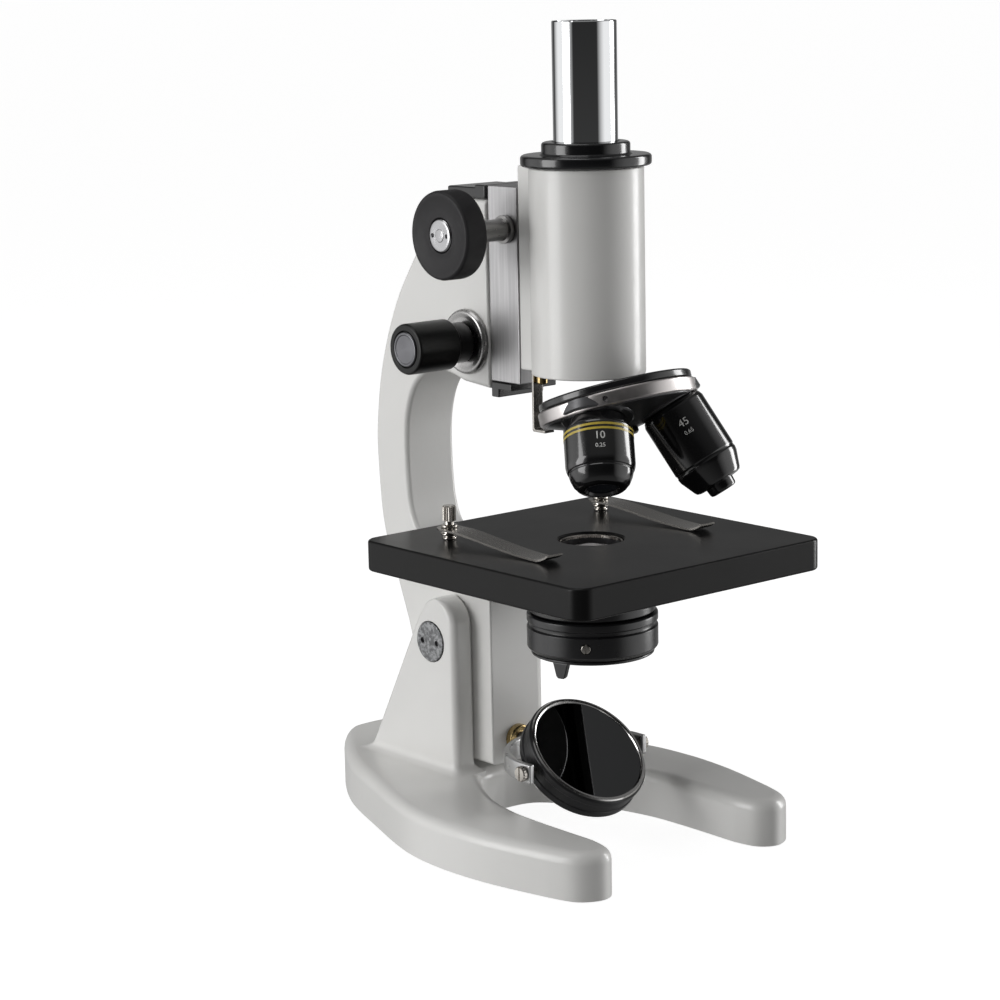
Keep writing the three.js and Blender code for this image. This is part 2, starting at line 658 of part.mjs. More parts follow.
function coarseKnobs() {
  return SIDES.flatMap(([word, side]) => {
    const { face, radius, thick, cap } = COARSE;
    const bore = PINION.shaft + GAP;
    const inner = face - thick;
    const knob = turned(
      [[bore, inner], [radius - 0.8, inner], [radius, inner + 0.8], [radius, face - 0.8], [radius - 0.8, face],
        [radius - 3, face], [cap + 1, face - 1], [cap, face - 1], [cap, face - 3], [bore, face - 3], [bore, inner]],
      FINE_SIDES,
    );
    const disc = rod(cap - GAP, face - 3 + GAP, face - 0.2, PLAIN_SIDES);
    const keyHoles = [-1, 1].map((up) => rod(0.9, face - 1.4, face + 1, 12).translate(0, up * 4.2, 0));
    const place = (geometry) => {
      const laid = alongX(geometry);
      return (side < 0 ? laid.rotateZ(Math.PI) : laid).translate(0, COARSE.y, COARSE.z);
    };
    return [
      piece(`coarse_knob_${word}`, place(knob), blackKnob()),
      piece(`coarse_cap_${word}`, place(cut(disc, ...keyHoles)), chrome()),
    ];
  });
}

function rack() {
  const { module, slack } = PINION;
  const pitch = Math.PI * module;
  const quarter = pitch / 4 - slack / 2;
  const flank = 0.36;
  const [tip, root] = [RACK_PITCH_Y + 0.6, RACK_PITCH_Y - 0.9];
  const first = Math.ceil((RACK.bottom + pitch - COARSE.z) / pitch);
  const last = Math.floor((RACK.top - pitch - COARSE.z) / pitch);
  const points = [[RACK.back, RACK.bottom], [root, RACK.bottom]];
  for (let tooth = first; tooth <= last; tooth += 1) {
    const middle = COARSE.z + tooth * pitch;
    const halfRoot = quarter + flank * 0.9;
    const halfTip = quarter - flank * 0.6;
    points.push([root, middle - halfRoot], [tip, middle - halfTip]);
    points.push([tip, middle + halfTip], [root, middle + halfRoot]);
  }
  points.push([root, RACK.top], [RACK.back, RACK.top]);
  return sideways(polygon(points), RACK.half);
}

const coarseDriveGroup = assembly(piece('pinion_shaft', pinionShaft(), steel()), coarseKnobs());

// ---------- body tube ----------
// Turret axes: local +Z runs down the turret's axis, local +Y leans towards the rear.
function noseAxes(group) {
  const down = new THREE.Vector3(0, -Math.sin(NOSE_TILT), -Math.cos(NOSE_TILT));
  const rear = new THREE.Vector3(0, Math.cos(NOSE_TILT), -Math.sin(NOSE_TILT));
  const across = new THREE.Vector3().crossVectors(rear, down);
  const axes = new THREE.Matrix4().makeBasis(across, rear, down).setPosition(NOSE_CENTRE);
  group.applyMatrix4(axes);
  return group;
}

function bodyTube() {
  const { radius, bore, bottom, top, seat, lightBore } = TUBE;
  const barrel = turned(
    [[lightBore, bottom], [radius, bottom], [radius, top], [bore, top], [bore, seat], [lightBore, seat],
      [lightBore, bottom]],
    FINE_SIDES,
  );
  const boss = box(-BOSS.half, BOSS.half, bore + 3, BOSS.back, bottom, top);
  const neck = ring(lightBore, NECK_RADIUS, bottom - 16, bottom + 1);
  const groove = box(-BOSS.grooveHalf, BOSS.grooveHalf, BOSS.grooveFloor, BOSS.back + 1, RACK.bottom - GAP, top + 1);
  const under = box(-60, 60, -60, 60, -PLATE.far - GAP, 60);
  return cut(join(barrel, boss, neck), groove, noseAxes(under));
}

function tubeFlange() {
  const { radius, top, collar, collarTop, spigot, foot } = FLANGE;
  const [bore, seat] = [DRAWTUBE.radius + GAP, TUBE.top + GAP];
  return turned(
    [[bore, foot], [spigot, foot], [spigot, seat], [radius - 0.8, seat], [radius, seat + 0.8], [radius, top - 0.8],
      [radius - 0.8, top], [collar, top], [collar, collarTop], [bore, collarTop], [bore, foot]],
    FINE_SIDES,
  );
}

const DETENT = { x: -9.5, y: 20.5, half: 2.5, thick: 1.0, foot: 42, lug: 5 };

function detentSpring() {
  const { x, y, half, thick, foot, lug } = DETENT;
  const top = TUBE.bottom - GAP;
  const ear = box(x - half, x + half, y - thick - lug, y, top - thick, top);
  const strip = box(x - half, x + half, y - thick, y, foot, top);
  const toe = box(x - half, x + half, y - 7.4, y, foot, foot + thick);
  return join(ear, strip, toe);
}

function detentScrew() {
  const { x, y, thick, lug } = DETENT;
  const head = TUBE.bottom - 2 * GAP - thick;
  return turned([[0, head - 3.4], [1.8, head - 3.4], [2.2, head - 2.6], [2.2, head], [0, head]], SMALL_SIDES)
    .translate(x, y - thick - lug / 2, 0);
}

function nosePlate() {
  const disc = rod(PLATE.radius, -PLATE.far, -PLATE.near, FINE_SIDES);
  const pivotHole = rod(3.3, -PLATE.far - 1, 0);
  const place = noseAxes(cut(disc, pivotHole));
  return cut(place, rod(9.6, 30, 80, PLAIN_SIDES));
}

const tubeGroup = assembly(
  piece('body_tube', bodyTube(), enamel()),
  piece('rack', rack(), steel()),
  piece('tube_flange', tubeFlange(), blackEnamel()),
  piece('nosepiece_plate', nosePlate(), blackEnamel()),
  piece('detent_spring', detentSpring(), steel()),
  piece('detent_screw', detentScrew(), brass()),
);

const drawtube = piece(
  'drawtube',
  ring(DRAWTUBE.bore, DRAWTUBE.radius, DRAWTUBE.bottom, DRAWTUBE.top, FINE_SIDES),
  chrome(),
);

// ---------- nosepiece ----------
// Seats an objective made about +Z, which points down its own axis, at a turn of the turret
// seen from the front lens's side.
function atSeat(geometry, turn) {
  const lean = geometry.rotateX(-NOSE_TILT).translate(0, NOSE_CIRCLE, 0);
  return lean.rotateZ(-turn - NOSE_TURN);
}

const SEATS = { low: 0, medium: (2 * Math.PI) / 3, high: (-2 * Math.PI) / 3 };

function turret() {
  const { radius, half } = RIM;
  const reach = (DOME_DEPTH - half) / Math.tan(NOSE_TILT);
  const flat = 5;
  const bell = turned(
    [[0, -half], [radius, -half], [radius, half], [reach, half], [flat, DOME_DEPTH - flat * Math.tan(NOSE_TILT)],
      [0, DOME_DEPTH - flat * Math.tan(NOSE_TILT)]],
    FINE_SIDES,
  );
  const bores = Object.values(SEATS).map((turn) => atSeat(rod(SEAT_BORE, -12, 20, PLAIN_SIDES), turn));
  return cut(bell, ...bores, rod(3.3, -half - 1, DOME_DEPTH + 1));
}

function turretScrew() {
  const head = DOME_DEPTH - 5 * Math.tan(NOSE_TILT) + GAP;
  const top = head + 2.4;
  return turned([[0, -PLATE.far], [3, -PLATE.far], [3, head], [5.5, head], [5.5, top - 0.8], [4.8, top], [0, top]]);
}

// Barrels, as [radius, distance down the axis], from the thread's top to the front lens.
const lowBarrel = [[9.8, SHOULDER + GAP], [13.2, SHOULDER + 2.4], [13.2, 17.5], [9.4, 21], [6, 21.6]];
const mediumBarrel = [
  [9.8, SHOULDER + GAP], [11, 7.4], [11.6, 9.2], [13.4, 12], [13.4, 25], [12.6, 28], [10.9, 32], [8.6, 34.6], [7, 35],
];
const highBarrel = [
  [9.8, SHOULDER + GAP], [13, 8.6], [13, 33], [9.8, 40.6], [5.4, 41.6], [5.2, 44.4], [4, 45],
];

function objective(barrel, turn) {
  const [front, end] = barrel[barrel.length - 1];
  const threadTop = 2;
  const wall = 1.6;
  const profile = [
    [0, end - 2],
    [0, end - 4],
    [OBJECTIVE_THREAD - wall, end - 12],
    [OBJECTIVE_THREAD - wall, threadTop],
    [OBJECTIVE_THREAD, threadTop],
    [OBJECTIVE_THREAD, SHOULDER + GAP],
    ...barrel,
    [front - 1, end],
    [front - 1.4, end - 2],
    [0, end - 2],
  ];
  return atSeat(turned(profile), turn);
}

const noseGroup = noseAxes(
  assembly(
    piece('nosepiece_turret', turret(), darkSteel()),
    piece('nosepiece_screw', turretScrew(), steel()),
    piece('objective_low', objective(lowBarrel, SEATS.low), blackEnamel()),
    piece('objective_medium', objective(mediumBarrel, SEATS.medium), blackEnamel()),
    piece('objective_high', objective(highBarrel, SEATS.high), blackEnamel()),
  ),
);

// ---------- whole instrument ----------
const group = assembly(
  stand,
  limbGroup,
  clipLeaves(),
  clipScrews(),
  piece('mirror_fork', mirrorFork(), steel()),
  mirrorScrews(),
  mirrorGroup,
  fineSlideGroup,
  fineDriveGroup,
  coarseDriveGroup,
  tubeGroup,
  drawtube,
  noseGroup,
);
group.position.set(0, -FOOTPRINT_MIDDLE, -TABLE);

export default group;
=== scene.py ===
import math

import bmesh
import bpy
from mathutils import Matrix, Vector


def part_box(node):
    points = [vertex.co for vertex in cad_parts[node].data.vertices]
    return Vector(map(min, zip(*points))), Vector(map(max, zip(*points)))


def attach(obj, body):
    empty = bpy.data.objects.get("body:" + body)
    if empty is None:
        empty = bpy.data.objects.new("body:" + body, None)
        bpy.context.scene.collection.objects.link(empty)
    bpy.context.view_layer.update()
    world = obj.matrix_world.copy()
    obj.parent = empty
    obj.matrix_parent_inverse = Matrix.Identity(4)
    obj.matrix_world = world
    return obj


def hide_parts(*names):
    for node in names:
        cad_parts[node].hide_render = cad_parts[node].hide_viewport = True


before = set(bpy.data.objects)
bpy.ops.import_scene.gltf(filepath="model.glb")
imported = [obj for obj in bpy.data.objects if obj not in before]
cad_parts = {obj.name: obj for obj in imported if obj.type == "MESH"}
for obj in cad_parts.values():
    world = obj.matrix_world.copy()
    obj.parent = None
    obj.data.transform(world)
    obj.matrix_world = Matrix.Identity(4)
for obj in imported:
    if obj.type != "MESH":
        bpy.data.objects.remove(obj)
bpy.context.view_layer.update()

# A school microscope of cast iron, brass and steel, put together from the stand upwards.
# Every piece is modelled in millimetres in the instrument's own axes, whose origin is where
# the optical axis meets the stage's top, with the stage's front towards -Y.
tube_low, tube_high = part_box("drawtube")
MILLIMETRE = 0.001
STAGE_LEVEL = 0.125
OPTICAL_AXIS = Vector(((tube_low.x + tube_high.x) / 2, (tube_low.y + tube_high.y) / 2, STAGE_LEVEL))
TO_ROW = Matrix.Translation(OPTICAL_AXIS) @ Matrix.Scale(MILLIMETRE, 4)

# ---------- viewpoint ----------
# A long lens a little above the stage, to the left of the front, level but for a slight roll.
# Its white stays white, so colours go to the screen as they are.
CAMERA_TURN, CAMERA_DIP, CAMERA_ROLL = 0.700461, 0.19351, -0.020786
CAMERA_PLACE = (-0.7012, -0.8197, 0.3461)
camera_back = Vector((
    -math.sin(CAMERA_TURN) * math.cos(CAMERA_DIP),
    -math.cos(CAMERA_TURN) * math.cos(CAMERA_DIP),
    math.sin(CAMERA_DIP),
))
camera_right = Vector((math.cos(CAMERA_TURN), -math.sin(CAMERA_TURN), 0))
camera_up = camera_back.cross(camera_right)
view_turn = Matrix((camera_right, camera_up, camera_back)).transposed().to_4x4()
camera = bpy.data.objects.new("camera", bpy.data.cameras.new("camera"))
camera.data.lens = 97.2
camera.matrix_world = Matrix.Translation(CAMERA_PLACE) @ view_turn @ Matrix.Rotation(CAMERA_ROLL, 4, "Z")
bpy.context.scene.collection.objects.link(camera)
bpy.context.scene.camera = camera
bpy.context.scene.view_settings.view_transform = "Standard"


# ---------- floor and light ----------
# A white table under a light tent, whose two side walls glow and whose front and back are dark,
# which gives bright metal its black streak, with a softbox on each side, overhead and in front.
class Value:
    """A shader socket that takes part in sums: each operator adds one Math node."""

    def __init__(self, nodes, socket):
        self.nodes = nodes
        self.socket = socket

    def maths(self, operation, other=0.0):
        return self.nodes.node("Math", {"operation": operation}, {0: self, 1: other})

    def __add__(self, other):
        return self.maths("ADD", other)

    def __sub__(self, other):
        return self.maths("SUBTRACT", other)

    def __rsub__(self, other):
        return self * -1 + other

    def __mul__(self, other):
        return self.maths("MULTIPLY", other)

    __radd__ = __add__
    __rmul__ = __mul__


class Nodes:
    """A node tree that is filled through one call, which sets, feeds and links a node."""

    def __init__(self, tree):
        self.tree = tree

    def node(self, kind, settings=(), inputs=(), output=0):
        made = self.tree.nodes.new("ShaderNode" + kind)
        for name, value in dict(settings).items():
            if name == "stops":
                self.set_stops(made.color_ramp, value)
            else:
                setattr(made, name, value)
        for socket, value in dict(inputs).items():
            self.feed(made.inputs[socket], value)
        return Value(self, made.outputs[output])

    def set_stops(self, ramp, stops):
        while len(ramp.elements) < len(stops):
            ramp.elements.new(0.5)
        for element, (place, shade) in zip(ramp.elements, stops):
            element.position = place
            element.color = (shade, shade, shade, 1)

    def feed(self, socket, value):
        if isinstance(value, Value):
            self.tree.links.new(value.socket, socket)
        else:
            socket.default_value = value

    def ramp(self, value, stops):
        return self.node("ValToRGB", {"stops": stops}, {"Fac": value})


class Finish(Nodes):
    """One material: a Principled shader with its fixed sockets set and its varied ones linked."""

    def __init__(self, name, color, roughness, metallic=0.0, fixed=()):
        self.material = bpy.data.materials.new(name)
        self.material.use_nodes = True
        super().__init__(self.material.node_tree)
        self.color = (*color, 1)
        self.roughness = roughness
        self.heights = None
        self.shader = self.tree.nodes["Principled BSDF"]
        self.set("Base Color", self.color)
        self.set("Roughness", roughness)
        self.set("Metallic", metallic)
        for socket, value in dict(fixed).items():
            self.set(socket, value)

    def set(self, socket, value):
        self.feed(self.shader.inputs[socket], value)

    def place(self, centre=(0, 0, 0), stretch=(1, 1, 1)):
        """Object coordinates measured from a centre in metres, squeezed by a stretch."""
        where = self.node("TexCoord", output=3)
        shift = [-c * s for c, s in zip(centre, stretch)]
        return self.node("Mapping", {}, {"Vector": where, "Location": shift, "Scale": stretch})

    def noise(self, scale, detail=3.0, where=None, softness=0.5):
        where = where or self.place()
        inputs = {"Vector": where, "Scale": scale, "Detail": detail, "Roughness": softness}
        return self.node("TexNoise", {}, inputs)

    def vary_roughness(self, pattern, amount):
        self.set("Roughness", (pattern - 0.5) * amount + self.roughness)

    def tint(self, pattern, other):
        """Goes from the finish's colour to another where the pattern rises from 0 to 1."""
        mixed = self.node("Mix", {"data_type": "RGBA"}, {0: pattern, 6: self.color, 7: (*other, 1)}, output=2)
        self.set("Base Color", mixed)

    def emboss(self, height, depth, strength=1.0):
        inputs = {"Height": height, "Distance": depth, "Strength": strength}
        if self.heights:
            inputs["Normal"] = self.heights
        self.heights = self.node("Bump", {}, inputs)
        self.set("Normal", self.heights)

    def rings(self, centre, axis, spacing):
        """Fine turned rings about an axis ('X' or 'Z'), as a wave from -1 to 1."""
        flat = (0, 1, 1) if axis == "X" else (1, 1, 0)
        radius = self.node("VectorMath", {"operation": "LENGTH"}, {0: self.place(centre, flat)}, output=1)
        return (radius * (2 * math.pi / spacing)).maths("SINE")


def row(x, y, z):
    """A point of the instrument's axes, in metres in the row's frame."""
    return TO_ROW @ Vector((x, y, z))


paper = Finish("table_paper", (0.3, 0.3, 0.3), 0.8,
               fixed={"Emission Color": (1, 1, 1, 1), "Emission Strength": 0.9})
paper.vary_roughness(paper.noise(6), 0.1)

FLOOR_HALF = 40
floor_mesh = bmesh.new()
bmesh.ops.create_grid(floor_mesh, x_segments=1, y_segments=1, size=FLOOR_HALF)
floor_data = bpy.data.meshes.new("floor")
floor_mesh.to_mesh(floor_data)
floor_mesh.free()
floor = bpy.data.objects.new("floor", floor_data)
floor_data.materials.append(paper.material)
bpy.context.scene.collection.objects.link(floor)
floor.visible_diffuse = False
floor.visible_glossy = False


def softbox(name, place, aim, width, height, power):
    lamp = bpy.data.lights.new(name, "AREA")
    lamp.shape = "RECTANGLE"
    lamp.size = width
    lamp.size_y = height
    lamp.energy = power
    held = bpy.data.objects.new(name, lamp)
    towards = Vector(aim) - Vector(place)
    held.matrix_world = Matrix.Translation(place) @ towards.to_track_quat("-Z", "Y").to_matrix().to_4x4()
    bpy.context.scene.collection.objects.link(held)
    return held


MIDDLE = (0, 0, 0.17)
left_way = -camera_right
softbox("left_softbox", left_way * 1.1 + camera_back * 0.45 + Vector((0, 0, 0.3)), MIDDLE, 0.6, 0.9, 6.5)
softbox("right_softbox", -left_way * 1.2 - camera_back * 0.45 + Vector((0, 0, 0.4)), MIDDLE, 0.4, 1.0, 9)
softbox("overhead_softbox", left_way * 0.3 + Vector((0, 0, 1.5)), MIDDLE, 0.8, 0.8, 3.5)
fill = softbox("front_fill", camera_back * 1.5 + left_way * 0.3 + Vector((0, 0, 0.2)), MIDDLE, 0.8, 0.8, 2)
fill.visible_glossy = False

world = bpy.data.worlds.new("studio")
world.use_nodes = True
tent = Nodes(world.node_tree)
towards = tent.node("TexCoord")
across = tent.node("VectorMath", {"operation": "DOT_PRODUCT"}, {0: towards, 1: camera_right}, output=1)
walls = tent.ramp(across.maths("ABSOLUTE"), [(0.68, 0.0), (0.95, 1.0)])
height = tent.node("SeparateXYZ", {}, {0: towards}, output=2)
ceiling = tent.ramp(height, [(0.3, 0.0), (1.0, 1.0)])
seen = tent.node("LightPath")
ahead = tent.node("VectorMath", {"operation": "DOT_PRODUCT"}, {0: towards, 1: -camera_back}, output=1)
rear = tent.ramp(ahead, [(0.75, 0.0), (0.98, 1.0)])
bounce = tent.ramp(height * -1, [(0.0, 0.0), (0.6, 1.0)])
glow = walls * 0.95 + ceiling * 0.25 + rear * 0.28 + bounce * 0.2 + 0.02
tent.feed(world.node_tree.nodes["Background"].inputs["Strength"], glow * (1 - seen) + seen)
tent.feed(world.node_tree.nodes["Background"].inputs["Color"], (1, 1, 1, 1))
bpy.context.scene.world = world

# ---------- base casting ----------
# A horseshoe foot with two upright cheeks, cast in iron in one piece, hollow underneath and
# sprayed with a pale warm-grey enamel. The upper edge and every inside corner are well rounded.
enamel = Finish("pale_enamel", (0.8, 0.795, 0.775), 0.36, fixed={"Coat Weight": 0.35, "Coat Roughness": 0.16})
enamel_cloud = enamel.noise(22, detail=4)
enamel.tint(enamel.ramp(enamel_cloud, [(0.3, 0.0), (0.75, 1.0)]), (0.76, 0.755, 0.735))
enamel.vary_roughness(enamel.noise(90, detail=5), 0.14)
enamel.emboss(enamel.noise(420, detail=2), 0.00006, 0.5)
enamel.emboss(enamel.noise(1500, detail=2), 0.00002, 0.4)

SMOOTH_ANGLE = math.radians(32)


def spline(points, steps=8):
    """A Catmull-Rom curve through 2-D points, without its last point."""
    ends = [points[0], *points, points[-1]]
    for a, b, c, d in zip(ends, ends[1:], ends[2:], ends[3:]):
        for step in range(steps):
            t = step / steps
            yield tuple(
                0.5 * (2 * q + (r - p) * t + (2 * p - 5 * q + 4 * r - s) * t**2
                       + (3 * q - p - 3 * r + s) * t**3)
                for p, q, r, s in zip(a, b, c, d)
            )


def arc(centre, radius, start, end, steps):
    """Points on a circle from one angle to another, in degrees, both ends included."""
    for step in range(steps + 1):
        angle = math.radians(start + (end - start) * step / steps)
        yield (centre[0] + radius * math.cos(angle), centre[1] + radius * math.sin(angle))


def new_parts(result, kind, key="geom"):
    """The vertices, edges or faces that a bmesh operator made."""
    return [part for part in result[key] if isinstance(part, kind)]


def plate(outline, low, high, axis="Z"):
    """A flat outline made solid between two levels along an axis: (x, y) for Z, (y, z) for X."""
    bm = bmesh.new()
    face = bm.faces.new([bm.verts.new((u, v, low)) for u, v in outline])
    raised = bmesh.ops.extrude_face_region(bm, geom=[face], use_keep_orig=True)
    top = new_parts(raised, bmesh.types.BMVert)
    bmesh.ops.translate(bm, verts=top, vec=(0, 0, high - low))
    if axis == "X":
        turn = Matrix(((0, 0, 1), (1, 0, 0), (0, 1, 0))).to_4x4()
        bmesh.ops.transform(bm, matrix=turn, verts=bm.verts)
    bmesh.ops.recalc_face_normals(bm, faces=bm.faces)
    return bm


def soften(bm, width, segments=3, angle=30, wanted=lambda edge: True):
    """Rounds each edge that is sharper than an angle."""
    limit = math.radians(angle)
    sharp = [e for e in bm.edges if len(e.link_faces) == 2 and e.calc_face_angle(0) > limit and wanted(e)]
    bmesh.ops.bevel(
        bm, geom=sharp, offset=width, segments=segments, profile=0.5,
        affect="EDGES", material=-1, clamp_overlap=True,
    )
    return bm


def middle(edge):
    return (edge.verts[0].co + edge.verts[1].co) / 2


def finished(bm, name, finish, body, nodes, smooth=SMOOTH_ANGLE):
    """Turns a bmesh in the instrument's axes into a piece that rides on a body."""
    bmesh.ops.remove_doubles(bm, verts=bm.verts, dist=0.002)
    bmesh.ops.recalc_face_normals(bm, faces=bm.faces)
    bmesh.ops.transform(bm, matrix=TO_ROW, verts=bm.verts)
    data = bpy.data.meshes.new(name)
    bm.to_mesh(data)
    bm.free()
    data.shade_smooth()
    data.set_sharp_from_angle(angle=smooth)
    data.materials.append(finish.material)
    made = bpy.data.objects.new(name, data)
    bpy.context.scene.collection.objects.link(made)
    weighted = made.modifiers.new("weighted_normals", "WEIGHTED_NORMAL")
    weighted.keep_sharp = True
    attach(made, body)
    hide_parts(*nodes)
    return made


def combined(first, tool, operation="UNION"):
    """Joins two closed bmeshes, or cuts the second from the first, and frees both."""
    held = []
    for bm in (first, tool):
        data = bpy.data.meshes.new("work")
        bm.to_mesh(data)
        bm.free()
        held.append(bpy.data.objects.new("work", data))
        bpy.context.scene.collection.objects.link(held[-1])
    boolean = held[0].modifiers.new("boolean", "BOOLEAN")
    boolean.operation = operation
    boolean.solver = "EXACT"
    boolean.object = held[1]
    settled = held[0].evaluated_get(bpy.context.evaluated_depsgraph_get())
    result = bmesh.new()
    result.from_mesh(settled.to_mesh())
    settled.to_mesh_clear()
    for work in held:
        data = work.data
        bpy.data.objects.remove(work)
        bpy.data.meshes.remove(data)
    bmesh.ops.remove_doubles(result, verts=result.verts, dist=0.002)
    return result


HEEL_BACK = 152
BASE_TOP, BASE_FLOOR = -105, -124
BASE_HOLLOW = 10
half_shoe = [
    *spline([(0, HEEL_BACK), (11, 149.6), (26, 133), (42, 107), (54, 76), (66, 40), (69, 14), (67, -12),
             (61, -40)]),
    *spline([(61, -40), (56.5, -52), (47, -57), (39.5, -52.5), (37, -42)], steps=6),
    *spline([(37, -42), (37, -12), (35.5, 8), (29, 30), (15, 52), (0, 56)]),
]
shoe = half_shoe + [(0, 56)] + [(-x, y) for x, y in reversed(half_shoe[1:])]
base = plate(shoe, BASE_FLOOR, BASE_TOP)
soften(base, 5, segments=6, angle=60, wanted=lambda e: middle(e).z > BASE_TOP - 0.1)
half_pocket = [
    *spline([(0, 143), (9, 141), (22, 126), (36, 103), (47, 74), (59, 40), (62, 14), (60, -12),
             (55, -38)], steps=4),
    *spline([(55, -38), (51, -47), (48, -49), (45, -47), (43, -40)], steps=4),
    *spline([(43, -40), (44, -12), (42.5, 10), (35.5, 34), (20, 58), (0, 64)], steps=4),
]
pocket = half_pocket + [(0, 64)] + [(-x, y) for x, y in reversed(half_pocket[1:])]
base = combined(base, plate(pocket, BASE_FLOOR - 1, BASE_FLOOR + BASE_HOLLOW), "DIFFERENCE")

CHEEK_INNER, CHEEK_OUTER = 13.4, 24.4
CHEEK_TOP = -32
CHEEK_FLARE = 4  # fillet where the cheek runs into the foot


def cheek_section(level):
    """Front, back and the two sides of a cheek at a height, flared out above the foot."""
    above = level - BASE_TOP
    flare = CHEEK_FLARE - math.sqrt(max(0, CHEEK_FLARE**2 - (CHEEK_FLARE - min(above, CHEEK_FLARE)) ** 2))
    down = CHEEK_TOP - level
    dome = 11.5
    crown = math.sqrt(max(0, dome**2 - max(0, dome - down) ** 2))
    front = 69.5 - crown
    slope = max(0, down - dome * 0.6)
    back = 69.5 + crown + slope * 0.545
    return front - flare, back + flare * 1.2, CHEEK_INNER - min(flare, 3), CHEEK_OUTER + flare


def rounded_section(front, back, inner, outer, level, corner):
    """A ring of points round a section with rounded corners, all sections alike in number."""
    reach = min(corner, (back - front) / 2.2, (outer - inner) / 2.2)
    corners = [(outer - reach, back - reach, 0), (inner + reach, back - reach, 90),
               (inner + reach, front + reach, 180), (outer - reach, front + reach, 270)]
    return [(x, y, level) for u, v, start in corners for x, y in arc((u, v), reach, start, start + 90, 5)]


levels = [BASE_TOP - 2 + step * 1.0 for step in range(11)]
levels += [BASE_TOP + 9 + step * 4 for step in range(1, 12)]
levels += [CHEEK_TOP - 11.5 * (1 - math.sin(math.radians(a))) for a in range(10, 90, 10)] + [CHEEK_TOP - 0.03]
cheeks = bmesh.new()
loops = []
for level in levels:
    ring = [cheeks.verts.new(p) for p in rounded_section(*cheek_section(level), level, 3.2)]
    loops.append(ring)
for lower, upper in zip(loops, loops[1:]):
    for n in range(len(lower)):
        cheeks.faces.new((lower[n - 1], lower[n], upper[n], upper[n - 1]))
cheeks.faces.new(loops[0])
cheeks.faces.new(loops[-1])
bmesh.ops.recalc_face_normals(cheeks, faces=cheeks.faces)
mirrored = bmesh.ops.duplicate(cheeks, geom=cheeks.verts[:] + cheeks.edges[:] + cheeks.faces[:])
twin = new_parts(mirrored, bmesh.types.BMVert)
bmesh.ops.scale(cheeks, vec=(-1, 1, 1), verts=twin)
bmesh.ops.recalc_face_normals(cheeks, faces=cheeks.faces)
base = combined(base, cheeks)


def turned(profile, sides=96, round_by=0, segments=3, angle=22):
    """Spins a profile of (radius, height) about +Z, closes it, and rounds its sharp edges."""
    bm = bmesh.new()
    points = [bm.verts.new((r, 0, z)) for r, z in profile]
    edges = [bm.edges.new(pair) for pair in zip(points, points[1:])]
    if profile[0][0] > 0 or profile[-1][0] > 0:
        edges.append(bm.edges.new((points[-1], points[0])))
    bmesh.ops.spin(
        bm, geom=points + edges, cent=(0, 0, 0), axis=(0, 0, 1), angle=2 * math.pi, steps=sides,
        use_merge=True,
    )
    bmesh.ops.remove_doubles(bm, verts=bm.verts, dist=0.001)
    bmesh.ops.recalc_face_normals(bm, faces=bm.faces)
    if round_by:
        soften(bm, round_by, segments, angle)
    return bm


def rod(radius, low, high, sides=48, round_by=0.0):
    return turned([(0, low), (radius, low), (radius, high), (0, high)], sides, round_by)


def moved(bm, matrix):
    bmesh.ops.transform(bm, matrix=matrix, verts=bm.verts)
    return bm


def shifted(bm, x=0, y=0, z=0):
    return moved(bm, Matrix.Translation((x, y, z)))


def outward(side, y, z):
    """The place of a piece on a crosswise shaft: its own +Z points out to the left or the right."""
    return Matrix.Translation((0, y, z)) @ Matrix.Rotation(side * math.pi / 2, 4, "Y")


SIDES = {"left": -1, "right": 1}
PIVOT_Y, PIVOT_Z, CAP_RADIUS = 73, -50.7, 8.4
for side in SIDES.values():
    seat = moved(rod(CAP_RADIUS + 0.35, CHEEK_OUTER - 1.5, CHEEK_OUTER + 4), outward(side, PIVOT_Y, PIVOT_Z))
    base = combined(base, seat, "DIFFERENCE")
finished(base, "base_shell", enamel, "stand", ["base_casting"])

# ---------- feet ----------
# Three moulded rubber buttons under the foot, at the heel and near each toe, which keep the
# iron off the bench.
rubber = Finish("foot_rubber", (0.02, 0.02, 0.02), 0.8)
rubber.vary_roughness(rubber.noise(300), 0.2)
rubber.emboss(rubber.noise(900), 0.00008)
for node in ("heel_pad", "left_pad", "right_pad"):
    low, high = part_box(node)
    pad = turned([(0, low.z), (0.0052, low.z), (0.006, low.z + 0.0008), (0.006, high.z), (0, high.z)], 48)
    shifted(pad, (low.x + high.x) / 2, (low.y + high.y) / 2)
    moved(pad, TO_ROW.inverted())
    finished(pad, node.replace("pad", "foot"), rubber, "stand", [node])

# ---------- inclination pivot ----------
# A steel bolt across the cheeks, drawn up by a dark cap on each side. Each cap is turned from
# bar, blackened, and has two spanner holes.
plain_steel = Finish("turned_steel", (0.33, 0.325, 0.32), 0.3, 1.0)
plain_steel.vary_roughness(plain_steel.noise(700, 4), 0.16)
plain_steel.emboss(plain_steel.noise(2500), 0.00001, 0.4)
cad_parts["pivot_bolt"].material_slots[0].material = plain_steel.material

cap_steel = Finish("blackened_cap_steel", (0.13, 0.132, 0.135), 0.42, 0.85)
cap_grain = cap_steel.noise(900, detail=5)
cap_steel.tint(cap_steel.ramp(cap_grain, [(0.42, 0.0), (0.62, 1.0)]), (0.34, 0.345, 0.35))
cap_steel.vary_roughness(cap_grain, 0.3)
cap_steel.emboss(cap_grain, 0.0001, 0.8)


def spanner_holes(bm, radius, place, low, high):
    for way in (-1, 1):
        bm = combined(bm, shifted(rod(radius, low, high, 24), y=way * place), "DIFFERENCE")
    return bm


